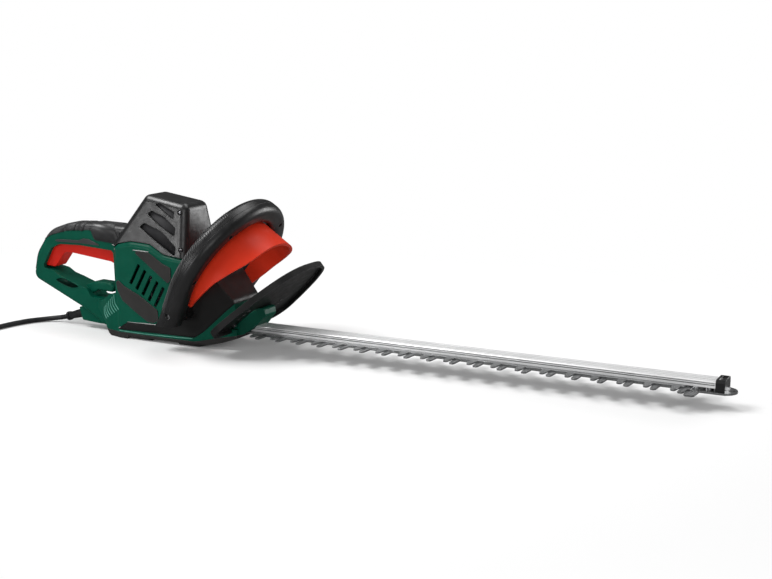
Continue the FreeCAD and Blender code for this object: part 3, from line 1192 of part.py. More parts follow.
POLE_HALF_ANGLE = 50
stator_bore = upright(bore_radius, stator_height, stator_foot)
stator = upright(stator_radius, stator_height, stator_foot).cut(stator_bore)
coil_slots = [sector(slot_outer, stator_height, stator_foot, 90 - POLE_HALF_ANGLE, middle)
              for middle in (90, 270)]
free("stator_core", one(stator.cut(coil_slots)))
overhang = size("coil_overhang")
coil_height = stator_height + 2 * overhang
coil_ring = upright(slot_outer - GAP, coil_height, stator_foot - overhang).cut(
    upright(bore_radius + GAP, coil_height, stator_foot - overhang))
poles = [sector(slot_outer + 1, stator_height + 2 * GAP, stator_foot - GAP, POLE_HALF_ANGLE + 1, middle)
         for middle in (0, 180)]
coil_ring = coil_ring.cut(poles)
coils = [coil_ring.common(box_between(MOTOR_X + low, -FAR, 0, MOTOR_X + high, FAR, FAR))
         for low, high in ((GAP / 2, 60), (-60, -GAP / 2))]
free("field_coils", group(one(c) for c in coils))

rotor_radius = bore_radius - size("air_gap")
rotor_bore = upright(SHAFT + FIT, stator_height, stator_foot)
rotor = upright(rotor_radius, stator_height, stator_foot).cut(rotor_bore)
slots = []
for i in range(PINION_TEETH):
    slot = box_between(rotor_radius - 6, -1, stator_foot, rotor_radius + 2, 1, stator_foot + stator_height)
    slot.rotate(Vector(0, 0, 0), Vector(0, 0, 1), i * 30)
    slot.translate(Vector(MOTOR_X, 0, 0))
    slots.append(slot)
free("rotor_core", one(rotor.cut(slots)))
winding = size("winding_height")
windings = []
for foot in (stator_foot - winding, stator_foot + stator_height):
    coil = upright(rotor_radius - 2, winding, foot).cut(upright(SHAFT + FIT, winding, foot))
    windings.append(coil.makeFillet(2.5, [e for e in coil.Edges if e.Curve.TypeId == "Part::GeomCircle"
                                          and e.Curve.Radius > 10]))
free("rotor_windings", group(windings))
commutator_foot = size("commutator_foot")
bars = upright(size("commutator_radius"), size("commutator_height"), commutator_foot).cut(
    upright(SHAFT + FIT, size("commutator_height"), commutator_foot))
slits = []
for i in range(int(size("commutator_bars"))):
    slit = box_between(size("commutator_radius") - 1.5, -0.3, commutator_foot - 1,
                       size("commutator_radius") + 1, 0.3, commutator_foot + 20)
    slit.rotate(Vector(0, 0, 0), Vector(0, 0, 1), i * 360 / size("commutator_bars"))
    slit.translate(Vector(MOTOR_X, 0, 0))
    slits.append(slit)
free("commutator", one(bars.cut(slits)))

bridge_foot = size("bridge_foot")
bridge = upright(size("bridge_radius"), size("bridge_thickness"), bridge_foot)
seat_height = size("upper_bearing_foot") + size("upper_bearing_height") - bridge_foot
bridge = bridge.fuse(upright(size("upper_bearing_outer") + 3, seat_height, bridge_foot)).cut([
    upright(size("upper_bearing_outer") + FIT, 20, size("upper_bearing_foot")),
    upright(SHAFT + 1, 20, bridge_foot - 1)])
free("brush_bridge", one(bridge))
upper_posts = posts_about("bridge_post", "upper_post_circle", "stator_foot + stator_height",
                          "bridge_foot - stator_foot - stator_height")
compound("motor_posts", lower_posts + upper_posts)
brush_side = size("brush_side")
holder_wall = size("brush_holder_wall")
brush_z = commutator_foot + size("commutator_height") / 2
holders = []
brushes = []
for side in (-1, 1):
    inner = size("commutator_radius") + 0.15
    outer = inner + size("brush_reach")
    half = brush_side / 2
    brush = box_between(inner, -half, brush_z - half, outer, half, brush_z + half)
    holder = box_between(inner + 2.5, -half - holder_wall, brush_z - half - holder_wall, outer - 1,
                         half + holder_wall, bridge_foot - 0.05)
    way = box_between(inner, -half - 0.1, brush_z - half - 0.1, outer, half + 0.1, brush_z + half + 0.1)
    holder = holder.cut(way)
    if side < 0:
        for shape in (brush, holder):
            shape.rotate(Vector(0, 0, 0), Vector(0, 0, 1), 180)
    for shape in (brush, holder):
        shape.translate(Vector(MOTOR_X, 0, 0))
    brushes.append(brush)
    holders.append(holder)
free("carbon_brushes", group(brushes))
free("brush_holders", group(holders))

# ---- rear trigger, switch and spring --------------------------------------------------

PIVOT = Vector(size("trigger_pivot_x"), 0, size("trigger_pivot_z"))
pin_radius = size("trigger_pin_radius")
trigger = soft_slab(side_wire(TRIGGER_OUTLINE), TRIGGER_HALF, 0.9)
trigger = trigger.cut(cylinder(pin_radius + size("running_gap"), PIVOT - Vector(0, 30, 0),
                               PIVOT + Vector(0, 30, 0)))
free("trigger", one(trigger))
node(place(bind(rod("trigger_pin", "trigger_pin_radius",
                    "2 * (handle_half_width - grip_skin - seam - shell_wall + 0.3)"),
                ), "trigger_pivot_x", "-(handle_half_width - grip_skin - seam - shell_wall + 0.3)",
           "trigger_pivot_z"), "trigger_pin")
NODES[-1].Placement.Rotation = FreeCAD.Rotation(Vector(1, 0, 0), -90)
SWITCH_HALF = "(handle_half_width - grip_skin - seam - shell_wall + 0.2)"
switch_box = block("rear_switch", "switch_length", "2 * " + SWITCH_HALF, "switch_height",
                   "switch_x - switch_length / 2", "-" + SWITCH_HALF, "switch_foot")
switch_bore = rod("rear_switch_bore", "plunger_radius + running_gap", "plunger_travel + 6", "switch_x", "0",
                  "switch_foot - 1")
node(cut("rear_switch", switch_box, switch_bore), "rear_switch")
TRIGGER_TOP_AT_SWITCH = 122.0
node(rod("switch_plunger", "plunger_radius", "switch_foot + 4.5 - %s" % (TRIGGER_TOP_AT_SWITCH + 0.3),
         "switch_x", "0", str(TRIGGER_TOP_AT_SWITCH + 0.3)), "switch_plunger")
spring_foot = 122.9
spring_top = 143.2
spring_length = spring_top - spring_foot - 2 * size("spring_wire")
helix = Part.makeHelix(spring_length / size("spring_turns"), spring_length, size("spring_radius"))
start = Vector(size("spring_radius"), 0, 0)
wire_section = Part.Wire(Part.makeCircle(size("spring_wire"), start, Vector(0, 1, 0)))
coil = Part.Wire(helix).makePipeShell([wire_section], True, True)
coil.translate(Vector(size("spring_x"), 0, spring_foot + size("spring_wire")))
free("trigger_spring", coil)

# ---- electrics ------------------------------------------------------------------------

node(block("capacitor", "22", "30", "26", "-73", "-15", "shell_wall + 0.05"), "capacitor")
node(block("terminal_block", "11", "36", "16", "-50", "-18", "shell_wall + 0.05"), "terminal_block")
SWITCH_TURN = math.radians(23)
switch_middle = bow_point(size("bow_radius") * math.cos(SWITCH_TURN),
                          BOW_CENTRE + size("bow_radius") * math.sin(SWITCH_TURN))
switch_radial = Vector(0, math.cos(SWITCH_TURN), 0) + BOW_UP * math.sin(SWITCH_TURN)
switch_half = BOW_HALF - BOW_WALL - 2 * GAP
switch_corners = [switch_middle + switch_radial * (u * switch_half) - BOW_OUT * 4.5 for u in (-1, 1)]
switch_corners += [c + BOW_OUT * 9 for c in reversed(switch_corners)]
front_switch = Part.Face(Part.makePolygon(switch_corners + switch_corners[:1])).extrude(
    switch_radial.cross(BOW_OUT) * 18)
front_switch.translate(switch_radial.cross(BOW_OUT) * -9)
free("front_switch", front_switch)

# ---- mains lead -----------------------------------------------------------------------

BOOT_LENGTH = size("boot_length")
CORD = size("cord_radius")
boot_root = push(GLAND, BOOT_OUT, 0.05)
boot = Part.makeCone(size("boot_root_radius"), size("boot_end_radius"), BOOT_LENGTH - 4, boot_root, BOOT_OUT)
collar = Part.makeCylinder(size("boot_collar_radius"), 4, push(GLAND, BOOT_OUT, BOOT_LENGTH - 4.2), BOOT_OUT)
stem = Part.makeCylinder(STEM_RADIUS, STEM_LENGTH, boot_root, BOOT_OUT * -1)
free("cable_boot", one(boot.fuse([collar, stem])))
inner_lead = cylinder(CORD, push(boot_root, BOOT_OUT, -STEM_LENGTH - 0.05), push(boot_root, BOOT_OUT, -42))
free("inner_lead", inner_lead)
clamp_at = push(boot_root, BOOT_OUT, -30)
clamp = Part.makeCylinder(CORD + 3, 8, clamp_at, BOOT_OUT * -1).cut(
    Part.makeCylinder(CORD + 0.05, 8, clamp_at, BOOT_OUT * -1))
free("cord_clamp", clamp)

# the cord's route: out of the boot, down to the floor and away to the side in loose curves
CORD_ROUTE = [(-190.6, 0, 9.58), (-200.2, 0, 6.82), (-211.8, -2.5, 5.15), (-225.3, -10.9, 3.6),
              (-237.9, -28.9, 3.55), (-245.6, -55.8, 3.55), (-248.8, -85.6, 3.55), (-249.8, -115.6, 3.55),
              (-258.5, -142.2, 3.55), (-275.8, -158.9, 3.55), (-299.3, -163.9, 3.55),
              (-321.9, -155.7, 3.55), (-337.3, -137.3, 4.3), (-344.5, -112.3, 7.05), (-347.4, -84.5, 7.05)]
CORD_FULLNESS = 0.45


def tangent_arc_path(points):
    """Straight runs joined by arcs as large as the runs beside them allow, and the arcs' radii."""
    edges = []
    radii = []
    here = points[0]
    for i in range(1, len(points) - 1):
        into = points[i] - points[i - 1]
        out = points[i + 1] - points[i]
        reach = CORD_FULLNESS * min(into.Length, out.Length)
        half_turn = into.getAngle(out) / 2
        radius = reach / math.tan(half_turn)
        start = push(points[i], into, -reach / into.Length)
        finish = push(points[i], out, reach / out.Length)
        inward = (out / out.Length - into / into.Length).normalize()
        middle = points[i] + inward * (radius / math.cos(half_turn) - radius)
        edges.append(Part.LineSegment(here, start).toShape())
        edges.append(Part.Arc(start, middle, finish).toShape())
        radii.append(radius)
        here = finish
    edges.append(Part.LineSegment(here, points[-1]).toShape())
    return Part.Wire(edges), radii


cord_points = [push(GLAND, BOOT_OUT, BOOT_LENGTH)] + [Vector(*p) for p in CORD_ROUTE[1:]]
cord_path, cord_radii = tangent_arc_path(cord_points)
section = Part.Wire(Part.makeCircle(CORD, cord_points[0], BOOT_OUT))
cord = cord_path.makePipeShell([section], True, True)
print("cord length %.1f, radii" % cord_path.Length, " ".join("%.0f" % r for r in cord_radii),
      "volume over section times length %.4f" % (cord.Volume / (math.pi * CORD ** 2 * cord_path.Length)))
free("cord", cord)

# flat two-pin plug, drawn along +X and then turned to follow the end of the cord
plug_length = size("plug_length")
plug_half = size("plug_width") / 2
plug_flat = size("plug_height") / 2
rear = [(0, -7), (0, 7), (8, 9), (20, plug_half), (plug_length, plug_half), (plug_length, -plug_half),
        (20, -plug_half), (8, -9)]
plug = Part.Face(Part.makePolygon([Vector(x, y, -plug_flat) for x, y in rear + rear[:1]])).extrude(
    Vector(0, 0, 2 * plug_flat))
long_edges = [e for e in plug.Edges if e.BoundBox.ZLength < 0.01]
plug = plug.makeFillet(2.5, long_edges)
pins = [cylinder(size("plug_pin_radius"), Vector(plug_length, y, 0),
                 Vector(plug_length + size("plug_pin_length"), y, 0))
        for y in (-size("plug_pin_pitch") / 2, size("plug_pin_pitch") / 2)]
along = cord_points[-1] - cord_points[-2]
plug_place = FreeCAD.Placement(Vector(cord_points[-1].x, cord_points[-1].y, plug_flat + 0.05),
                               FreeCAD.Rotation(math.degrees(math.atan2(along.y, along.x)), 0, 0))
node(doc.addObject("Part::Feature", "plug_body_shape"), "plug_body").Shape = plug
NODES[-1].Placement = plug_place
node(doc.addObject("Part::Feature", "plug_pins_shape"), "plug_pins").Shape = group(pins)
NODES[-1].Placement = plug_place

# ---- checks and export ----------------------------------------------------------------

doc.recompute()
for item in doc.Objects:
    if {"Invalid", "Error"} & set(item.State):
        raise RuntimeError("%s is %s" % (item.Label, item.State))
for item in NODES:
    if item.Shape.isNull() or not item.Shape.isValid() or not item.Shape.Solids:
        raise RuntimeError("%s has no valid solid" % item.Label)
os.makedirs("parts", exist_ok=True)
for item in NODES:
    item.Shape.exportStep("parts/%s.step" % item.Label)
print(len(NODES), "nodes")
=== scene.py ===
"""Looks of the corded hedge trimmer, in metres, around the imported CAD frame."""
import json
import math

import bmesh
import bpy
from mathutils import Matrix, Vector
from mathutils.bvhtree import BVHTree


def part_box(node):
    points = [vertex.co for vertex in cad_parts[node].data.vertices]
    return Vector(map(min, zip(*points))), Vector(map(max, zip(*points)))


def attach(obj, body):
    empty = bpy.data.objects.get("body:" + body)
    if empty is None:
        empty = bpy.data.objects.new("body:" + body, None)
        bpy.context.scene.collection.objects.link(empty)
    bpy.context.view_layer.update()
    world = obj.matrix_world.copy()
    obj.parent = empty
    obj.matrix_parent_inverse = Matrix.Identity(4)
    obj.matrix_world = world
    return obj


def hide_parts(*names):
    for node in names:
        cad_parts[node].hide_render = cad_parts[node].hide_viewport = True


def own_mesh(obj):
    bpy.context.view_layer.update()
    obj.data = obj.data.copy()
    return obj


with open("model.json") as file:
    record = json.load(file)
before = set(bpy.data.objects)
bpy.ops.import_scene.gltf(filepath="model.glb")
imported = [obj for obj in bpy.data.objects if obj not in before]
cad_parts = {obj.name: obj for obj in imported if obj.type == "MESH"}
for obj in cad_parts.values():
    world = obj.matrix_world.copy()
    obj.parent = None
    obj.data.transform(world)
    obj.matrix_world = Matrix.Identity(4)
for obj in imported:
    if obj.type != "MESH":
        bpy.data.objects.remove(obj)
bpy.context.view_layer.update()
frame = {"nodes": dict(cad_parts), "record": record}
NODES = frame["nodes"]
MM = 0.001
SIDES = (-1, 1)

# ---- camera ----------------------------------------------------------------------------

EYE = Vector((1.0600, -1.4092, 0.4127))
AZIMUTH = math.radians(27.4)
ELEVATION = math.radians(11.27)
look = Vector((-math.sin(AZIMUTH) * math.cos(ELEVATION), math.cos(AZIMUTH) * math.cos(ELEVATION),
               -math.sin(ELEVATION)))
camera_data = bpy.data.cameras.new("camera")
camera_data.lens = 59.88
camera_data.sensor_width = 36
camera = bpy.data.objects.new("camera", camera_data)
camera.location = EYE
camera.rotation_euler = look.to_track_quat("-Z", "Y").to_euler()
bpy.context.scene.collection.objects.link(camera)
bpy.context.scene.camera = camera
bpy.context.scene.view_settings.view_transform = "Standard"

# ---- materials -------------------------------------------------------------------------


def shader(name, colour, roughness, metallic=0.0, grain=0.0, grain_size=0.5, mottle=0.12, mottle_size=30.0,
           wear_and_highlight_colour=None, wear_and_highlight_amount=0.5, rounding=0.5, brushed=None, gloss_change=0.06, shine=0.3):
    """A plastic, rubber or metal with mottled colour, uneven gloss, fine grain and lightened edges, partly
    rubbed wear and partly painted highlight.
    """
    material = bpy.data.materials.new(name)
    material.use_nodes = True
    nodes = material.node_tree.nodes
    links = material.node_tree.links
    surface = nodes["Principled BSDF"]
    surface.inputs["Metallic"].default_value = metallic
    surface.inputs["Specular IOR Level"].default_value = shine
    where = nodes.new("ShaderNodeTexCoord")
    place = nodes.new("ShaderNodeMapping")
    links.new(where.outputs["Object"], place.inputs["Vector"])

    def noise(size, detail, source):
        texture = nodes.new("ShaderNodeTexNoise")
        texture.inputs["Scale"].default_value = 1 / (size * MM)
        texture.inputs["Detail"].default_value = detail
        links.new(source, texture.inputs["Vector"])
        return texture.outputs["Fac"]

    def ranged(value, low, high, from_low=0.3, from_high=0.7):
        spread = nodes.new("ShaderNodeMapRange")
        spread.inputs["From Min"].default_value = from_low
        spread.inputs["From Max"].default_value = from_high
        spread.inputs["To Min"].default_value = low
        spread.inputs["To Max"].default_value = high
        links.new(value, spread.inputs["Value"])
        return spread.outputs["Result"]

    def mixed(factor, first, second):
        mix = nodes.new("ShaderNodeMix")
        mix.data_type = "RGBA"
        links.new(factor, mix.inputs["Factor"])
        for socket, value in (("A", first), ("B", second)):
            slot = [s for s in mix.inputs if s.name == socket and s.type == "RGBA"][0]
            if isinstance(value, bpy.types.NodeSocket):
                links.new(value, slot)
            else:
                slot.default_value = (*value, 1)
        return [s for s in mix.outputs if s.type == "RGBA"][0]

    broad = noise(mottle_size, 3, where.outputs["Object"])
    darker = [c * (1 - mottle) for c in colour]
    lighter = [min(1, c * (1 + mottle) + 0.002) for c in colour]
    tint = mixed(ranged(broad, 0, 1), darker, lighter)

    bevel = nodes.new("ShaderNodeBevel")
    bevel.samples = 4
    bevel.inputs["Radius"].default_value = rounding * MM
    # Edges lighter than the faces through a bevel mask: partly rubbed wear and partly a painted highlight
    # along the edges.
    if wear_and_highlight_colour:
        geometry = nodes.new("ShaderNodeNewGeometry")
        dot = nodes.new("ShaderNodeVectorMath")
        dot.operation = "DOT_PRODUCT"
        links.new(bevel.outputs["Normal"], dot.inputs[0])
        links.new(geometry.outputs["Normal"], dot.inputs[1])
        edge = ranged(dot.outputs["Value"], wear_and_highlight_amount, 0, 0.80, 0.99)
        tint = mixed(edge, tint, wear_and_highlight_colour)
    links.new(tint, surface.inputs["Base Color"])

    if brushed:
        place.inputs["Scale"].default_value = brushed
        streaks = noise(1.0, 4, place.outputs["Vector"])
        gloss = ranged(streaks, roughness - gloss_change, roughness + gloss_change)
        relief = streaks
    else:
        gloss = ranged(noise(9, 4, where.outputs["Object"]), roughness - gloss_change,
                       roughness + gloss_change)
        relief = noise(grain_size, 2, where.outputs["Object"])
    links.new(gloss, surface.inputs["Roughness"])
    bump = nodes.new("ShaderNodeBump")
    bump.inputs["Strength"].default_value = 1.0
    bump.inputs["Distance"].default_value = grain * MM
    links.new(relief, bump.inputs["Height"])
    links.new(bevel.outputs["Normal"], bump.inputs["Normal"])
    links.new(bump.outputs["Normal"], surface.inputs["Normal"])
    return material


GREEN = shader("green_plastic", (0.0, 0.068, 0.04), 0.34, shine=0.1, grain=0.03, grain_size=0.45, mottle=0.08,
               wear_and_highlight_colour=(0.02, 0.2, 0.14), wear_and_highlight_amount=0.5)
BLACK = shader("black_plastic", (0.009, 0.009, 0.0095), 0.34, shine=0.5, grain=0.03, grain_size=0.4,
               mottle=0.2, wear_and_highlight_colour=(0.12, 0.12, 0.12), wear_and_highlight_amount=0.45)
DARK = shader("dark_grey_plastic", (0.027, 0.026, 0.025), 0.42, shine=0.2, grain=0.035, grain_size=0.4,
              mottle=0.12, wear_and_highlight_colour=(0.3, 0.29, 0.28), wear_and_highlight_amount=0.5)
COVER = shader("cover_plastic", (0.008, 0.008, 0.008), 0.36, shine=0.3, grain=0.03, grain_size=0.4,
               mottle=0.12, rounding=3.5)
HOOD = shader("hood_plastic", (0.012, 0.012, 0.0125), 0.33, shine=0.6, grain=0.03, grain_size=0.4,
              mottle=0.2, rounding=1.6)
GUARD = shader("guard_plastic", (0.011, 0.011, 0.011), 0.42, shine=0.2, grain=0.02, grain_size=0.4,
               mottle=0.1, wear_and_highlight_colour=(0.2, 0.2, 0.2), wear_and_highlight_amount=0.4)
RUBBER = shader("grip_rubber", (0.02, 0.02, 0.021), 0.4, shine=0.75, grain=0.06, grain_size=0.5, mottle=0.15,
                wear_and_highlight_colour=(0.14, 0.14, 0.14), wear_and_highlight_amount=0.4)
RUBBER_ROUGH = shader("textured_rubber", (0.022, 0.022, 0.023), 0.5, shine=0.7, grain=0.5, grain_size=1.3,
                      mottle=0.3, mottle_size=4)
# One red plastic in two copies: the darker copy on the trigger and the other red parts is painted shade, and
# the lighter, more orange copy on the switch bar is painted light.
SHADED_RED = shader("red_plastic", (0.52, 0.012, 0.005), 0.4, shine=0.12, grain=0.02, grain_size=0.5,
             mottle=0.06, wear_and_highlight_colour=(0.62, 0.06, 0.03), wear_and_highlight_amount=0.4)
LIT_RED = shader("red_painted_lit", (0.66, 0.034, 0.011), 0.4, shine=0.15, grain=0.02, mottle=0.06)
BAR = shader("bar_aluminium", (0.86, 0.862, 0.865), 0.34, metallic=0.25, grain=0.02, mottle=0.05,
             brushed=(0.02, 1.6, 1.6), gloss_change=0.1)
CAST = shader("cast_aluminium", (0.5, 0.51, 0.52), 0.5, metallic=0.9, grain=0.08, grain_size=0.8)
BLADE = shader("blade_steel", (0.34, 0.345, 0.35), 0.33, metallic=0.9, grain=0.02, mottle=0.15,
               brushed=(1.4, 0.08, 1.4), wear_and_highlight_colour=(0.75, 0.75, 0.75), wear_and_highlight_amount=0.7, rounding=0.35,
               gloss_change=0.1)
STEEL = shader("bright_steel", (0.5, 0.5, 0.51), 0.28, metallic=1.0, grain=0.01, grain_size=0.3,
               wear_and_highlight_colour=(0.8, 0.8, 0.8), wear_and_highlight_amount=0.4, rounding=0.2)
GEAR = shader("gear_steel", (0.33, 0.33, 0.35), 0.35, metallic=1.0, grain=0.02, grain_size=0.4,
              wear_and_highlight_colour=(0.7, 0.7, 0.7), wear_and_highlight_amount=0.5, rounding=0.2)
BRONZE = shader("bronze", (0.55, 0.36, 0.16), 0.35, metallic=1.0, grain=0.02, grain_size=0.5)
LAMINATE = shader("core_steel", (0.3, 0.3, 0.31), 0.42, metallic=0.9, grain=0.15,
                  brushed=(0.05, 0.05, 1.2))
COPPER = shader("copper_winding", (0.62, 0.26, 0.1), 0.36, metallic=0.9, grain=0.3,
                brushed=(0.2, 0.2, 1.3))
# This dark colour serves the carbon brushes, and also paints shade in the screw wells, in the screw crosses
# and behind the hood louvres.
CARBON_AND_PAINTED_SHADE = shader("carbon", (0.025, 0.025, 0.027), 0.6, grain=0.05)
NYLON = shader("fan_plastic", (0.09, 0.09, 0.095), 0.45, grain=0.03)
SWITCH = shader("switch_plastic", (0.05, 0.05, 0.052), 0.4, grain=0.02, wear_and_highlight_colour=(0.2, 0.2, 0.2))
# A dark green that paints the shade of the recessed spar panel.
GREEN_PAINTED_SHADE = shader("green_painted_shade", (0.0, 0.018, 0.011), 0.5, shine=0.1)
# A pale green that paints the highlight on the neck ribs and along the rim of the sole.
GREEN_PAINTED_HIGHLIGHT = shader("green_painted_highlight", (0.075, 0.26, 0.2), 0.32, grain=0.02, mottle=0.1)
# A light grey that paints the highlights along the edges of the inlays and bands.
GREY_PAINTED_HIGHLIGHT = shader("grey_painted_highlight", (0.42, 0.42, 0.42), 0.3, metallic=0.3, grain=0.02, mottle=0.1)
PAINTED_GROOVE_SHADE = shader("groove_shade", (0.3, 0.3, 0.31), 0.5, metallic=0.4, mottle=0.2)
CORD = shader("cord_rubber", (0.016, 0.016, 0.017), 0.45, grain=0.03, grain_size=0.6, mottle=0.25,
              mottle_size=12)

BY_SLOT = {
    "green_plastic": GREEN, "black_plastic": BLACK, "rubber_grip": RUBBER, "grey_inlay": DARK,
    "red_plastic": SHADED_RED, "bar_aluminium": BAR, "cast_aluminium": CAST, "blade_steel": BLADE,
    "bright_steel": STEEL, "gear_steel": GEAR, "bronze": BRONZE, "core_steel": LAMINATE,
    "copper_winding": COPPER, "carbon": CARBON_AND_PAINTED_SHADE, "fan_plastic": NYLON, "switch_plastic": SWITCH,
    "cord_rubber": CORD,
}
BY_NODE = {"hand_guard": GUARD, "gear_cover": COVER, "sole_plate": DARK, "motor_hood": HOOD,
           "switch_bar": LIT_RED}
SLOT_OF = {entry["node"]: entry["material_slot"] for entry in frame["record"]["subparts"]}
for name, item in NODES.items():
    item.data.materials.clear()
    item.data.materials.append(BY_NODE.get(name, BY_SLOT[SLOT_OF[name]]))

# ---- mains lead ------------------------------------------------------------------------

CORD_ROUTE = [(-190.6, 0, 9.58), (-200.2, 0, 6.82), (-211.8, -2.5, 5.15), (-225.3, -10.9, 3.6),
              (-237.9, -28.9, 3.55), (-245.6, -55.8, 3.55), (-248.8, -85.6, 3.55), (-249.8, -115.6, 3.55),
              (-258.5, -142.2, 3.55), (-275.8, -158.9, 3.55), (-299.3, -163.9, 3.55),
              (-321.9, -155.7, 3.55), (-337.3, -137.3, 4.3), (-344.5, -112.3, 7.05), (-347.4, -84.5, 7.05)]
CORD_DIAMETER = 0.007
line = bpy.data.curves.new("mains_lead", "CURVE")
line.dimensions = "3D"
line.bevel_depth = CORD_DIAMETER / 2
line.bevel_resolution = 6
line.use_fill_caps = True
spline = line.splines.new("NURBS")
spline.points.add(len(CORD_ROUTE) - 1)
for point, spot in zip(spline.points, CORD_ROUTE):
    point.co = (*(c * MM for c in spot), 1)
spline.order_u = 3
spline.use_endpoint_u = True
spline.resolution_u = 12
lead = bpy.data.objects.new("mains_lead", line)
bpy.context.scene.collection.objects.link(lead)
line.materials.append(CORD)
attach(lead, "root")
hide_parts("cord")

# ---- studio ----------------------------------------------------------------------------

SKY_LIGHT = 0.34
SKY_IN_GLOSS = 0.08
PAPER_GREY = 0.8
PAPER_LIFT = 0.06
PAPER_IN_GLOSS = 0.16
PAPER_REACH = 30
PAPER_SINK = 0.0004
FADE_MIDDLE = (-0.31, 0.0, 0.0)
FADE_STRETCH = (1.25, 2.0, 0.0)
FADE_START = 0.75
FADE_END = 1.5


def shown(tree, to_camera, to_gloss, to_rest, output, socket):
    """Shows one shader to the camera, another to reflections and a third to everything else."""
    path = tree.nodes.new("ShaderNodeLightPath")
    unseen = tree.nodes.new("ShaderNodeMixShader")
    tree.links.new(path.outputs["Is Glossy Ray"], unseen.inputs["Fac"])
    tree.links.new(to_rest.outputs[0], unseen.inputs[1])
    tree.links.new(to_gloss.outputs[0], unseen.inputs[2])
    mix = tree.nodes.new("ShaderNodeMixShader")
    tree.links.new(path.outputs["Is Camera Ray"], mix.inputs["Fac"])
    tree.links.new(unseen.outputs[0], mix.inputs[1])
    tree.links.new(to_camera.outputs[0], mix.inputs[2])
    tree.links.new(mix.outputs[0], output.inputs[socket])


def glow(tree, kind, strength):
    """A white background or emission node."""
    node = tree.nodes.new(kind)
    node.inputs["Color"].default_value = (1, 1, 1, 1)
    node.inputs["Strength"].default_value = strength
    return node


def white_world():
    world = bpy.data.worlds.new("studio")
    bpy.context.scene.world = world
    world.use_nodes = True
    tree = world.node_tree
    sky = tree.nodes["Background"]
    sky.inputs["Color"].default_value = (1, 1, 1, 1)
    sky.inputs["Strength"].default_value = SKY_LIGHT
    white = glow(tree, "ShaderNodeBackground", 1.0)
    dim = glow(tree, "ShaderNodeBackground", SKY_IN_GLOSS)
    shown(tree, white, dim, sky, tree.nodes["World Output"], "Surface")


def paper_material():
    """White paper that takes shadows near the trimmer and fades to pure white far from it."""
    paper = bpy.data.materials.new("paper")
    paper.use_nodes = True
    tree = paper.node_tree
    surface = tree.nodes["Principled BSDF"]
    surface.inputs["Base Color"].default_value = (PAPER_GREY, PAPER_GREY, PAPER_GREY, 1)
    surface.inputs["Roughness"].default_value = 0.9
    surface.inputs["Specular IOR Level"].default_value = 0.0
    lifted = tree.nodes.new("ShaderNodeAddShader")
    tree.links.new(surface.outputs[0], lifted.inputs[0])
    tree.links.new(glow(tree, "ShaderNodeEmission", PAPER_LIFT).outputs[0], lifted.inputs[1])

    spot = tree.nodes.new("ShaderNodeTexCoord")
    around = tree.nodes.new("ShaderNodeMapping")
    around.inputs["Location"].default_value = FADE_MIDDLE
    around.inputs["Scale"].default_value = FADE_STRETCH
    far = tree.nodes.new("ShaderNodeVectorMath")
    far.operation = "LENGTH"
    fade = tree.nodes.new("ShaderNodeMapRange")
    fade.interpolation_type = "SMOOTHSTEP"
    fade.inputs["From Min"].default_value = FADE_START
    fade.inputs["From Max"].default_value = FADE_END
    faded = tree.nodes.new("ShaderNodeMixShader")
    tree.links.new(spot.outputs["Object"], around.inputs["Vector"])
    tree.links.new(around.outputs["Vector"], far.inputs[0])
    tree.links.new(far.outputs["Value"], fade.inputs["Value"])
    tree.links.new(fade.outputs["Result"], faded.inputs["Fac"])
    tree.links.new(lifted.outputs[0], faded.inputs[1])
    tree.links.new(glow(tree, "ShaderNodeEmission", 1.0).outputs[0], faded.inputs[2])

    grey = tree.nodes.new("ShaderNodeBsdfDiffuse")
    grey.inputs["Color"].default_value = (PAPER_IN_GLOSS, PAPER_IN_GLOSS, PAPER_IN_GLOSS, 1)
    shown(tree, faded, grey, surface, tree.nodes["Material Output"], "Surface")
    return paper


def paper_floor():
    mesh = bpy.data.meshes.new("floor")
    corners = [(x * PAPER_REACH, y * PAPER_REACH, 0) for x, y in ((-1, -1), (1, -1), (1, 1), (-1, 1))]
    mesh.from_pydata(corners, [], [(0, 1, 2, 3)])
    mesh.materials.append(paper_material())
    floor = bpy.data.objects.new("floor", mesh)
    floor.location.z = -PAPER_SINK
    bpy.context.scene.collection.objects.link(floor)


def softbox(name, place, aim, width, height, power):
    data = bpy.data.lights.new(name, "AREA")
    data.shape = "RECTANGLE"
    data.size = width
    data.size_y = height
    data.energy = power
    lamp = bpy.data.objects.new(name, data)
    lamp.location = place
    lamp.rotation_euler = (Vector(aim) - Vector(place)).to_track_quat("-Z", "Y").to_euler()
    bpy.context.scene.collection.objects.link(lamp)


white_world()
paper_floor()
softbox("key", (-0.8, -0.6, 1.8), (0.1, 0, 0.05), 1.0, 0.8, 30)
softbox("top", (0.5, 0.6, 1.9), (0.2, 0, 0), 2.0, 0.8, 16)
softbox("front", (1.3, -1.9, 0.9), (0.3, 0, 0.1), 1.2, 0.7, 7)
softbox("left", (-0.95, -1.8, 0.55), (0, 0, 0.14), 0.7, 0.45, 8)
softbox("rim", (1.2, 1.5, 0.4), (0.05, 0, 0.15), 0.8, 0.8, 14)

# ---- shapes ----------------------------------------------------------------------------


def piece(name, mesh, material, body="root"):
    """A mesh as a piece that rides on a body."""
    item = bpy.data.objects.new(name, mesh)
    bpy.context.scene.collection.objects.link(item)
    mesh.materials.append(material)
    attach(item, body)
    return item


def tree_of(*names):
    """A search tree over the surfaces of some CAD pieces."""
    joined = bmesh.new()
    for name in names:
        mesh = NODES[name].data.copy()
        mesh.transform(NODES[name].matrix_world)
        joined.from_mesh(mesh)
        bpy.data.meshes.remove(mesh)
    found = BVHTree.FromBMesh(joined)
    joined.free()
    return found


def struck(tree, start, way, reach=0.5):
    """Where a ray meets a surface, and the normal turned back along the ray."""
    spot, normal, _, _ = tree.ray_cast(start, way, reach)
    if spot is None:
        return None
    return spot, -normal if normal.dot(way) > 0 else normal


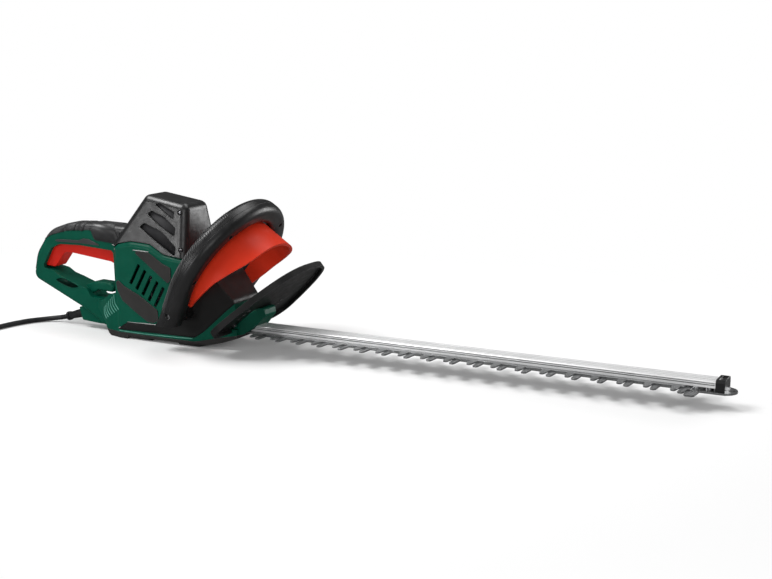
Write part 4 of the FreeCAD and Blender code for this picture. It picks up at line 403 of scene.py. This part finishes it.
def side_hit(tree, x, z, side):
    """Where a line across the trimmer meets a surface, at x and z in mm."""
    return struck(tree, Vector((x * MM, side * 0.2, z * MM)), Vector((0, -side, 0)), 0.4)


def bent(corners, steps=8):
    """Points of a smooth line through corners."""
    line = []
    for i in range(len(corners) - 1):
        before = Vector(corners[max(i - 1, 0)])
        start = Vector(corners[i])
        finish = Vector(corners[i + 1])
        after = Vector(corners[min(i + 2, len(corners) - 1)])
        for step in range(steps):
            t = step / steps
            line.append(0.5 * (2 * start + (finish - before) * t
                               + (2 * before - 5 * start + 4 * finish - after) * t ** 2
                               + (3 * start - before - 3 * finish + after) * t ** 3))
    line.append(Vector(corners[-1]))
    return line


def strip_faces(shape, places, width, height, sink=0.15):
    """Adds a raised rib with rounded shoulders along (spot, normal) places, sizes in mm."""
    profile = [(-0.5, -sink), (-0.5, 0.35 * height), (-0.3, 0.9 * height), (0, height),
               (0.3, 0.9 * height), (0.5, 0.35 * height), (0.5, -sink)]
    rings = []
    for i, (spot, normal) in enumerate(places):
        ahead = places[min(i + 1, len(places) - 1)][0] - places[max(i - 1, 0)][0]
        across = ahead.cross(normal).normalized()
        slim = 0.4 if i in (0, len(places) - 1) else 1.0
        rings.append([shape.verts.new(spot + across * (u * width * slim * MM)
                                      + normal * (v * (slim if v > 0 else 1) * MM)) for u, v in profile])
    for first, second in zip(rings, rings[1:]):
        for k in range(len(profile) - 1):
            shape.faces.new((first[k], first[k + 1], second[k + 1], second[k]))
        shape.faces.new((first[-1], first[0], second[0], second[-1]))
    shape.faces.new(rings[0][::-1])
    shape.faces.new(rings[-1])


def made(shape, name):
    """The mesh of a shape that has been put together."""
    bmesh.ops.recalc_face_normals(shape, faces=shape.faces)
    mesh = bpy.data.meshes.new(name)
    shape.to_mesh(mesh)
    shape.free()
    for face in mesh.polygons:
        face.use_smooth = True
    return mesh


def ribbon(shape, places, width, height, least=4):
    """Adds a rib through the places that were met, if they are enough."""
    places = [place for place in places if place]
    if len(places) >= least:
        strip_faces(shape, places, width, height)


def side_strips(name, tree, lines, width, height, material):
    """Ribs drawn on both sides of the trimmer from lines of the side view."""
    shape = bmesh.new()
    for side in SIDES:
        for line in lines:
            ribbon(shape, [side_hit(tree, x, z, side) for x, z in line], width, height, least=3)
    return piece(name, made(shape, name), material)


def slab(shape, low, high):
    """Adds the closed solid between two matching loops of places."""
    first = [shape.verts.new(spot) for spot in low]
    second = [shape.verts.new(spot) for spot in high]
    shape.faces.new(first[::-1])
    shape.faces.new(second)
    for k in range(len(first)):
        after = (k + 1) % len(first)
        shape.faces.new((first[k], first[after], second[after], second[k]))


PATCH_CLEARANCE = 0.00008
PATCH_REACH = 0.03


def patch(name, node, planes, material, blocked_by, thickness):
    """A thin skin over the part of a CAD piece that lies behind every plane, edges squared off."""
    source = NODES[node]
    shape = bmesh.new()
    shape.from_mesh(source.data)
    shape.transform(source.matrix_world)
    for spot, out in planes:
        bmesh.ops.bisect_plane(shape, geom=shape.verts[:] + shape.edges[:] + shape.faces[:], dist=1e-6,
                               plane_co=Vector(spot) * MM, plane_no=Vector(out), clear_outer=True)
    shape.normal_update()
    hidden = []
    for face in shape.faces:
        middle = face.calc_center_median()
        if struck(blocked_by, middle + face.normal * PATCH_CLEARANCE, face.normal, PATCH_REACH):
            hidden.append(face)
    bmesh.ops.delete(shape, geom=hidden, context="FACES")
    bmesh.ops.remove_doubles(shape, verts=shape.verts, dist=1e-6)
    shape.normal_update()
    skin = bmesh.ops.extrude_face_region(shape, geom=shape.faces[:])
    for vert in [v for v in skin["geom"] if isinstance(v, bmesh.types.BMVert)]:
        vert.co += vert.normal * (thickness * MM)
    mesh = bpy.data.meshes.new(name)
    shape.to_mesh(mesh)
    shape.free()
    for face in mesh.polygons:
        face.use_smooth = True
    return piece(name, mesh, material)


def turned_to(spot, normal):
    """The placement of a detail that stands on a surface."""
    placing = Vector(normal).to_track_quat("Z", "Y").to_matrix().to_4x4()
    placing.translation = spot
    return placing


def disc(shape, placing, rings, sides=28):
    """Adds a turned shape from (radius, height) rings in mm about a placement."""
    loops = []
    for radius, height in rings:
        loops.append([shape.verts.new(placing @ Vector((radius * MM * math.cos(2 * math.pi * k / sides),
                                                        radius * MM * math.sin(2 * math.pi * k / sides),
                                                        height * MM))) for k in range(sides)])
    for first, second in zip(loops, loops[1:]):
        for k in range(sides):
            shape.faces.new((first[k], first[(k + 1) % sides], second[(k + 1) % sides], second[k]))
    shape.faces.new(loops[0][::-1])
    shape.faces.new(loops[-1])


def bar_across(shape, placing, length, width, height, turn):
    """Adds a small block lying on a placement, turned about its upright axis."""
    spin = placing @ Matrix.Rotation(turn, 4, "Z")
    made_cube = bmesh.ops.create_cube(shape, size=1.0)
    bmesh.ops.transform(shape, matrix=spin @ Matrix.Translation((0, 0, height * MM / 2))
                        @ Matrix.Diagonal((length * MM, width * MM, height * MM, 1)),
                        verts=made_cube["verts"])


def screws(name, places, radius):
    """Sunk cross-head screws: a raised lip, a flat dark disc painted as the shade of the well, and a head
    whose cross is dark raised bars painted as the shade in its recess.
    """
    lip = bmesh.new()
    well_shade = bmesh.new()
    head = bmesh.new()
    cross = bmesh.new()
    for spot, normal in places:
        placing = turned_to(spot, normal)
        disc(lip, placing, [(radius + 0.8, -0.2), (radius + 0.8, 0.25), (radius + 0.45, 0.5),
                            (radius + 0.05, 0.5), (radius, 0.12)])
        # A flat dark disc round the head: painted shade of the well.
        disc(well_shade, placing, [(radius, 0.1), (radius, 0.16)])
        disc(head, placing, [(radius * 0.6, 0.12), (radius * 0.6, 0.3), (radius * 0.35, 0.42)])
        # The cross drawn as dark raised bars: painted shade of the cross recess.
        for turn in (0.6, 0.6 + math.pi / 2):
            bar_across(cross, placing, radius * 0.62, radius * 0.16, 0.46, turn)
    piece(name + "_lips", made(lip, name + "_lips"), BLACK)
    piece(name + "_wells", made(well_shade, name + "_wells"), CARBON_AND_PAINTED_SHADE)
    piece(name + "_heads", made(head, name + "_heads"), GEAR)
    piece(name + "_cross_shades", made(cross, name + "_cross_shades"), CARBON_AND_PAINTED_SHADE)


# ---- grip: grained panels between smooth bands, and a smooth raised pad at the front ----

casing = tree_of("housing_left", "housing_right", "gear_cover", "motor_hood", "sole_plate", "handle_grip",
                 "side_inlays", "handle_inserts")
grip_only = tree_of("handle_grip", "housing_left", "housing_right")
GRIP_TOP = 150
GRIP_CUTS = [(-206, -0.5), (-172, -0.25), (-153, -0.2), (-137, -0.2)]
GRIP_BAND = 2
GRIP_SCREWS = [(-215.5, 124), (-144.5, 143.2), (-75, 139)]


def slant(x, lean, keep):
    """A plane across the grip at x on its top; keep is +1 for what lies ahead of it."""
    way = Vector((1.0, 0.0, lean)).normalized()
    return (x, 0, GRIP_TOP), tuple(-keep * c for c in way)


def grip():
    for index, ((rear, rear_lean), (front, front_lean)) in enumerate(zip(GRIP_CUTS, GRIP_CUTS[1:])):
        patch("grip_panel_%d" % index, "handle_grip",
              [slant(rear + GRIP_BAND, rear_lean, 1), slant(front - GRIP_BAND, front_lean, -1)],
              RUBBER_ROUGH, grip_only, 0.5)
    patch("grip_rear_panel", "handle_grip", [((0, 0, 117), (0, 0, 1)), ((0, 0, 84), (0, 0, -1))],
          RUBBER_ROUGH, grip_only, 0.5)
    patch("grip_pad", "handle_grip", [slant(-127, -0.55, 1), slant(-88, 0.5, -1)],
          RUBBER, grip_only, 0.7)
    screws("grip_screws", [side_hit(casing, x, z, side) for x, z in GRIP_SCREWS for side in SIDES], 2.6)


# ---- casing: finger ribs on the neck and a line along the rim of the sole in a painted highlight green, and grey painted highlight lines along the inlays and bands ---

RIB_COUNT = 7
RIB_TOPS = (Vector((-99, 38)), Vector((-74, 59)))
RIB_FEET = (Vector((-93, 22)), Vector((-64, 39)))
RIB_BOW = Vector((-3.2, -1.6))
# Lines of painted highlight: grey along the inlay and band edges, pale green along the rim of the sole.
PAINTED_HIGHLIGHT_LINES = [
    ("band_highlight_lines", [([(-66, 13), (-49.5, 23.2)], 10), ([(-49.5, 23.6), (16, 25.2)], 24)], 1.3, 0.5, GREY_PAINTED_HIGHLIGHT,
     "grey_inlay"),
    ("inlay_highlight_lines", [([(-36, 125), (-9, 124.3)], 12)], 1.1, 0.5, GREY_PAINTED_HIGHLIGHT, "grey_inlay"),
    ("root_highlight_lines", [([(-91, 125), (-77, 120.2)], 10)], 1.1, 0.5, GREY_PAINTED_HIGHLIGHT, "grey_inlay"),
    ("rim_highlight_lines", [([(-66, 10.2), (-27, 9.6), (25, 10.6), (60, 11.8)], 12)], 1.2, 0.35, GREEN_PAINTED_HIGHLIGHT,
     "green_plastic"),
]


def casing_ribs():
    lines = []
    for k in range(RIB_COUNT):
        t = k / (RIB_COUNT - 1)
        top = RIB_TOPS[0].lerp(RIB_TOPS[1], t)
        foot = RIB_FEET[0].lerp(RIB_FEET[1], t)
        lines.append(bent([top, (top + foot) / 2 + RIB_BOW, foot]))
    # The neck ribs take the pale green as a painted highlight.
    side_strips("neck_ribs", casing, lines, 1.5, 0.9, GREEN_PAINTED_HIGHLIGHT)
    for name, lines, width, height, material, slot in PAINTED_HIGHLIGHT_LINES:
        side_strips(name, casing, [bent(corners, steps) for corners, steps in lines], width, height,
                    material)


# ---- hood: screws in its front corners, dark sheets behind the louvres as painted shade of the hood's inside, fins on its back ----

HOOD_FOOT = 100
HOOD_SPAN = 110
HOOD_SIDE = (45, 22)
HOOD_FRONT = (51, 42)
HOOD_BACK = (-97.5, -19)
HOOD_SCREWS = [(34.5, 179), (41.5, 130)]
SHADE_SHEET_DEPTHS = (3.3, 3.8)
SHADE_SHEET_SILL = 122
SHADE_SHEET_SHOULDER = 138
SHADE_SHEET_TOP = 189
FIN_FOOT = 143
FIN_SPACING = 4.7
FIN_COUNT = 10
FIN_STEPS = 6


def hood_at(z, wall):
    """How far out a sloping wall of the hood is at a level, from its places at the foot and top."""
    foot, top = wall
    return foot + (top - foot) * (z - HOOD_FOOT) / HOOD_SPAN


# Dark sheets just inside both side walls of the hood: painted shade seen through the louvres, hiding the
# parts inside.
def louvre_shade_sheets():
    shape = bmesh.new()
    outline = ((hood_at(SHADE_SHEET_SHOULDER, HOOD_BACK) + 9, SHADE_SHEET_SHOULDER),
               (hood_at(SHADE_SHEET_SHOULDER, HOOD_FRONT) - 8, SHADE_SHEET_SILL),
               (hood_at(SHADE_SHEET_TOP, HOOD_FRONT) - 9, SHADE_SHEET_TOP),
               (hood_at(SHADE_SHEET_TOP, HOOD_BACK) + 7, SHADE_SHEET_TOP))
    for side in SIDES:
        slab(shape, *[[Vector((x, side * (hood_at(z, HOOD_SIDE) - depth), z)) * MM for x, z in outline]
                      for depth in SHADE_SHEET_DEPTHS])
    piece("louvre_shade_sheets", made(shape, "louvre_shade_sheets"), CARBON_AND_PAINTED_SHADE)


def hood():
    tree = tree_of("motor_hood")
    screws("hood_screws", [side_hit(tree, x, z, side) for x, z in HOOD_SCREWS for side in SIDES], 3.0)
    louvre_shade_sheets()
    fins = bmesh.new()
    for k in range(FIN_COUNT):
        level = FIN_FOOT + FIN_SPACING * k
        reach = hood_at(level, HOOD_SIDE) - 9
        ribbon(fins, [struck(tree, Vector((-200, reach * step / FIN_STEPS, level)) * MM, Vector((1, 0, 0)))
                      for step in range(-FIN_STEPS, FIN_STEPS + 1)], 2.0, 1.5)
    piece("hood_fins", made(fins, "hood_fins"), BLACK)


# ---- bow: slanted knurls along the outer rear corner -----------------------------------

BOW_LEAN = math.radians(33)
BOW_SPLAY = math.radians(17)
BOW_UP = Vector((math.sin(BOW_LEAN), 0, math.cos(BOW_LEAN)))
BOW_OUT = Vector((math.cos(BOW_LEAN), 0, -math.sin(BOW_LEAN)))
BOW_FOOT = Vector((35, 0, 24))
BOW_RADIUS = 89
BOW_CENTRE = 101
BOW_LEG = 66.0
KNURL_FIRST = 24.0
KNURL_LAST = 182
KNURL_SPACING = 3.1
KNURL_LEAN = 1.1
KNURL_TURNS = [math.radians(18 + 9 * step) for step in range(6)]


def bow_line(distance):
    """A point of the bow's middle line and its outward way, from the foot of one leg upwards."""
    if distance < BOW_LEG:
        tangent = Vector((BOW_RADIUS * math.cos(BOW_SPLAY), BOW_CENTRE - BOW_RADIUS * math.sin(BOW_SPLAY)))
        along = Vector((math.sin(BOW_SPLAY), math.cos(BOW_SPLAY)))
        return tangent - along * (BOW_LEG - distance), Vector((math.cos(BOW_SPLAY), -math.sin(BOW_SPLAY)))
    angle = -BOW_SPLAY + (distance - BOW_LEG) / BOW_RADIUS
    way = Vector((math.cos(angle), math.sin(angle)))
    return Vector((0, BOW_CENTRE)) + way * BOW_RADIUS, way


def bow():
    tree = tree_of("bow_rear_shell", "bow_front_shell")
    knurls = bmesh.new()
    for side in SIDES:
        distance = KNURL_FIRST
        while distance < KNURL_LAST:
            places = []
            for step, turn in enumerate(KNURL_TURNS):
                spot, way = bow_line(distance + step * KNURL_LEAN)
                centre = (BOW_FOOT + Vector((0, side * spot.x, 0)) + BOW_UP * spot.y) * MM
                radial = Vector((0, side * way.x, 0)) + BOW_UP * way.y
                outward = (radial * math.cos(turn) - BOW_OUT * math.sin(turn)).normalized()
                places.append(struck(tree, centre + outward * 0.04, -outward, 0.05))
            ribbon(knurls, places, 1.7, 0.8)
            distance += KNURL_SPACING
    piece("bow_knurls", made(knurls, "bow_knurls"), RUBBER)


# ---- guard: short ribs in its lower corners --------------------------------------------

GUARD_RIBS = [(34, 9), (46, 12), (52, 11), (58, 10)]
GUARD_RIB_Y = 40
GUARD_STEPS = 8


def guard():
    tree = tree_of("hand_guard")
    ribs = bmesh.new()
    for side in SIDES:
        for z, width in GUARD_RIBS:
            reaches = [GUARD_RIB_Y + width * (step / GUARD_STEPS - 0.5) for step in range(GUARD_STEPS + 1)]
            ribbon(ribs, [struck(tree, Vector((400, side * y, z)) * MM, Vector((-1, 0, 0))) for y in reaches],
                   1.6, 0.9)
    piece("guard_ribs", made(ribs, "guard_ribs"), GUARD)


# ---- spar: a long panel drawn as a thin dark green skin, painted shade of a recess, with a raised lip on each side ---

SPAR_PANEL = [(-196, 66), (-188, 69.5), (-176, 68), (-155, 60.5), (-157, 57.5), (-170, 56.5), (-190, 62.5)]
SPAR_SKIN = 0.12


def spar():
    side_strips("spar_lips", casing, [bent(SPAR_PANEL + SPAR_PANEL[:1], 4)], 1.0, 0.5, GREEN)
    # The panel is a thin skin on the surface, its darker green painted as the shade of a recess.
    recess_shade = bmesh.new()
    for side in SIDES:
        ring = [side_hit(casing, x, z, side) for x, z in SPAR_PANEL]
        slab(recess_shade, [spot for spot, normal in ring],
             [spot + normal * SPAR_SKIN * MM for spot, normal in ring])
    piece("spar_wells", made(recess_shade, "spar_wells"), GREEN_PAINTED_SHADE)


# ---- bar: grooves along the top and both flanks, drawn as thin flat strips in a painted groove shade ---

GROOVE_START = 137
GROOVE_END = 749
TOP_GROOVES = (-9.5, -3.5, 3.5, 9.5)
FLANK_GROOVES = ((27.5, 0.9), (29.8, 0.6))
GROOVE_PROUD = 0.02


def bar():
    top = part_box("blade_bar")[1] / MM
    middle = (GROOVE_START + GROOVE_END) / 2
    length = GROOVE_END - GROOVE_START
    grooves = bmesh.new()
    for y in TOP_GROOVES:
        bar_across(grooves, Matrix.Translation(Vector((middle, y, top.z)) * MM), length, 0.45, 0.05, 0)
    for side in SIDES:
        for z, height in FLANK_GROOVES:
            spot = Vector((middle, side * (top.y + GROOVE_PROUD), z)) * MM
            bar_across(grooves, Matrix.Translation(spot), length, 0.06, height, 0)
    piece("bar_grooves", made(grooves, "bar_grooves"), PAINTED_GROOVE_SHADE)


# ---- blades: the same shapes with ground edges -----------------------------------------

GROUND_PIECES = [("upper_blade", "upper_blade"), ("lower_blade", "lower_blade"), ("end_plate", "root")]
GROUND_EDGE = 0.55
SHARP_ANGLE = 1.2
SHORTEST_EDGE = 0.003
LEVEL_ERROR = 1e-5


def is_ground(edge):
    """True for a sharp, level and not too short edge."""
    return (len(edge.link_faces) == 2 and edge.calc_face_angle() > SHARP_ANGLE
            and abs(edge.verts[0].co.z - edge.verts[1].co.z) < LEVEL_ERROR
            and edge.calc_length() > SHORTEST_EDGE)


def blades():
    for name, body in GROUND_PIECES:
        shape = bmesh.new()
        shape.from_mesh(NODES[name].data)
        shape.transform(NODES[name].matrix_world)
        bmesh.ops.remove_doubles(shape, verts=shape.verts, dist=1e-6)
        bmesh.ops.dissolve_limit(shape, angle_limit=0.02, verts=shape.verts[:], edges=shape.edges[:])
        bmesh.ops.bevel(shape, geom=[edge for edge in shape.edges if is_ground(edge)],
                        offset=GROUND_EDGE * MM, segments=1, affect="EDGES", clamp_overlap=True)
        mesh = bpy.data.meshes.new(name + "_ground")
        shape.to_mesh(mesh)
        shape.free()
        item = piece(name + "_ground", mesh, BLADE, body=body)
        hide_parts(name)


# ---- trigger spring: the coil again as a steel piece on the root, with a mesh of its own ---


def trigger_spring():
    coil = NODES["trigger_spring"].data.copy()
    coil.materials.clear()
    spring = piece("trigger_spring_coil", coil, STEEL)
    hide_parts("trigger_spring")
    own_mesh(spring)


grip()
casing_ribs()
hood()
bow()
guard()
spar()
bar()
blades()
trigger_spring()
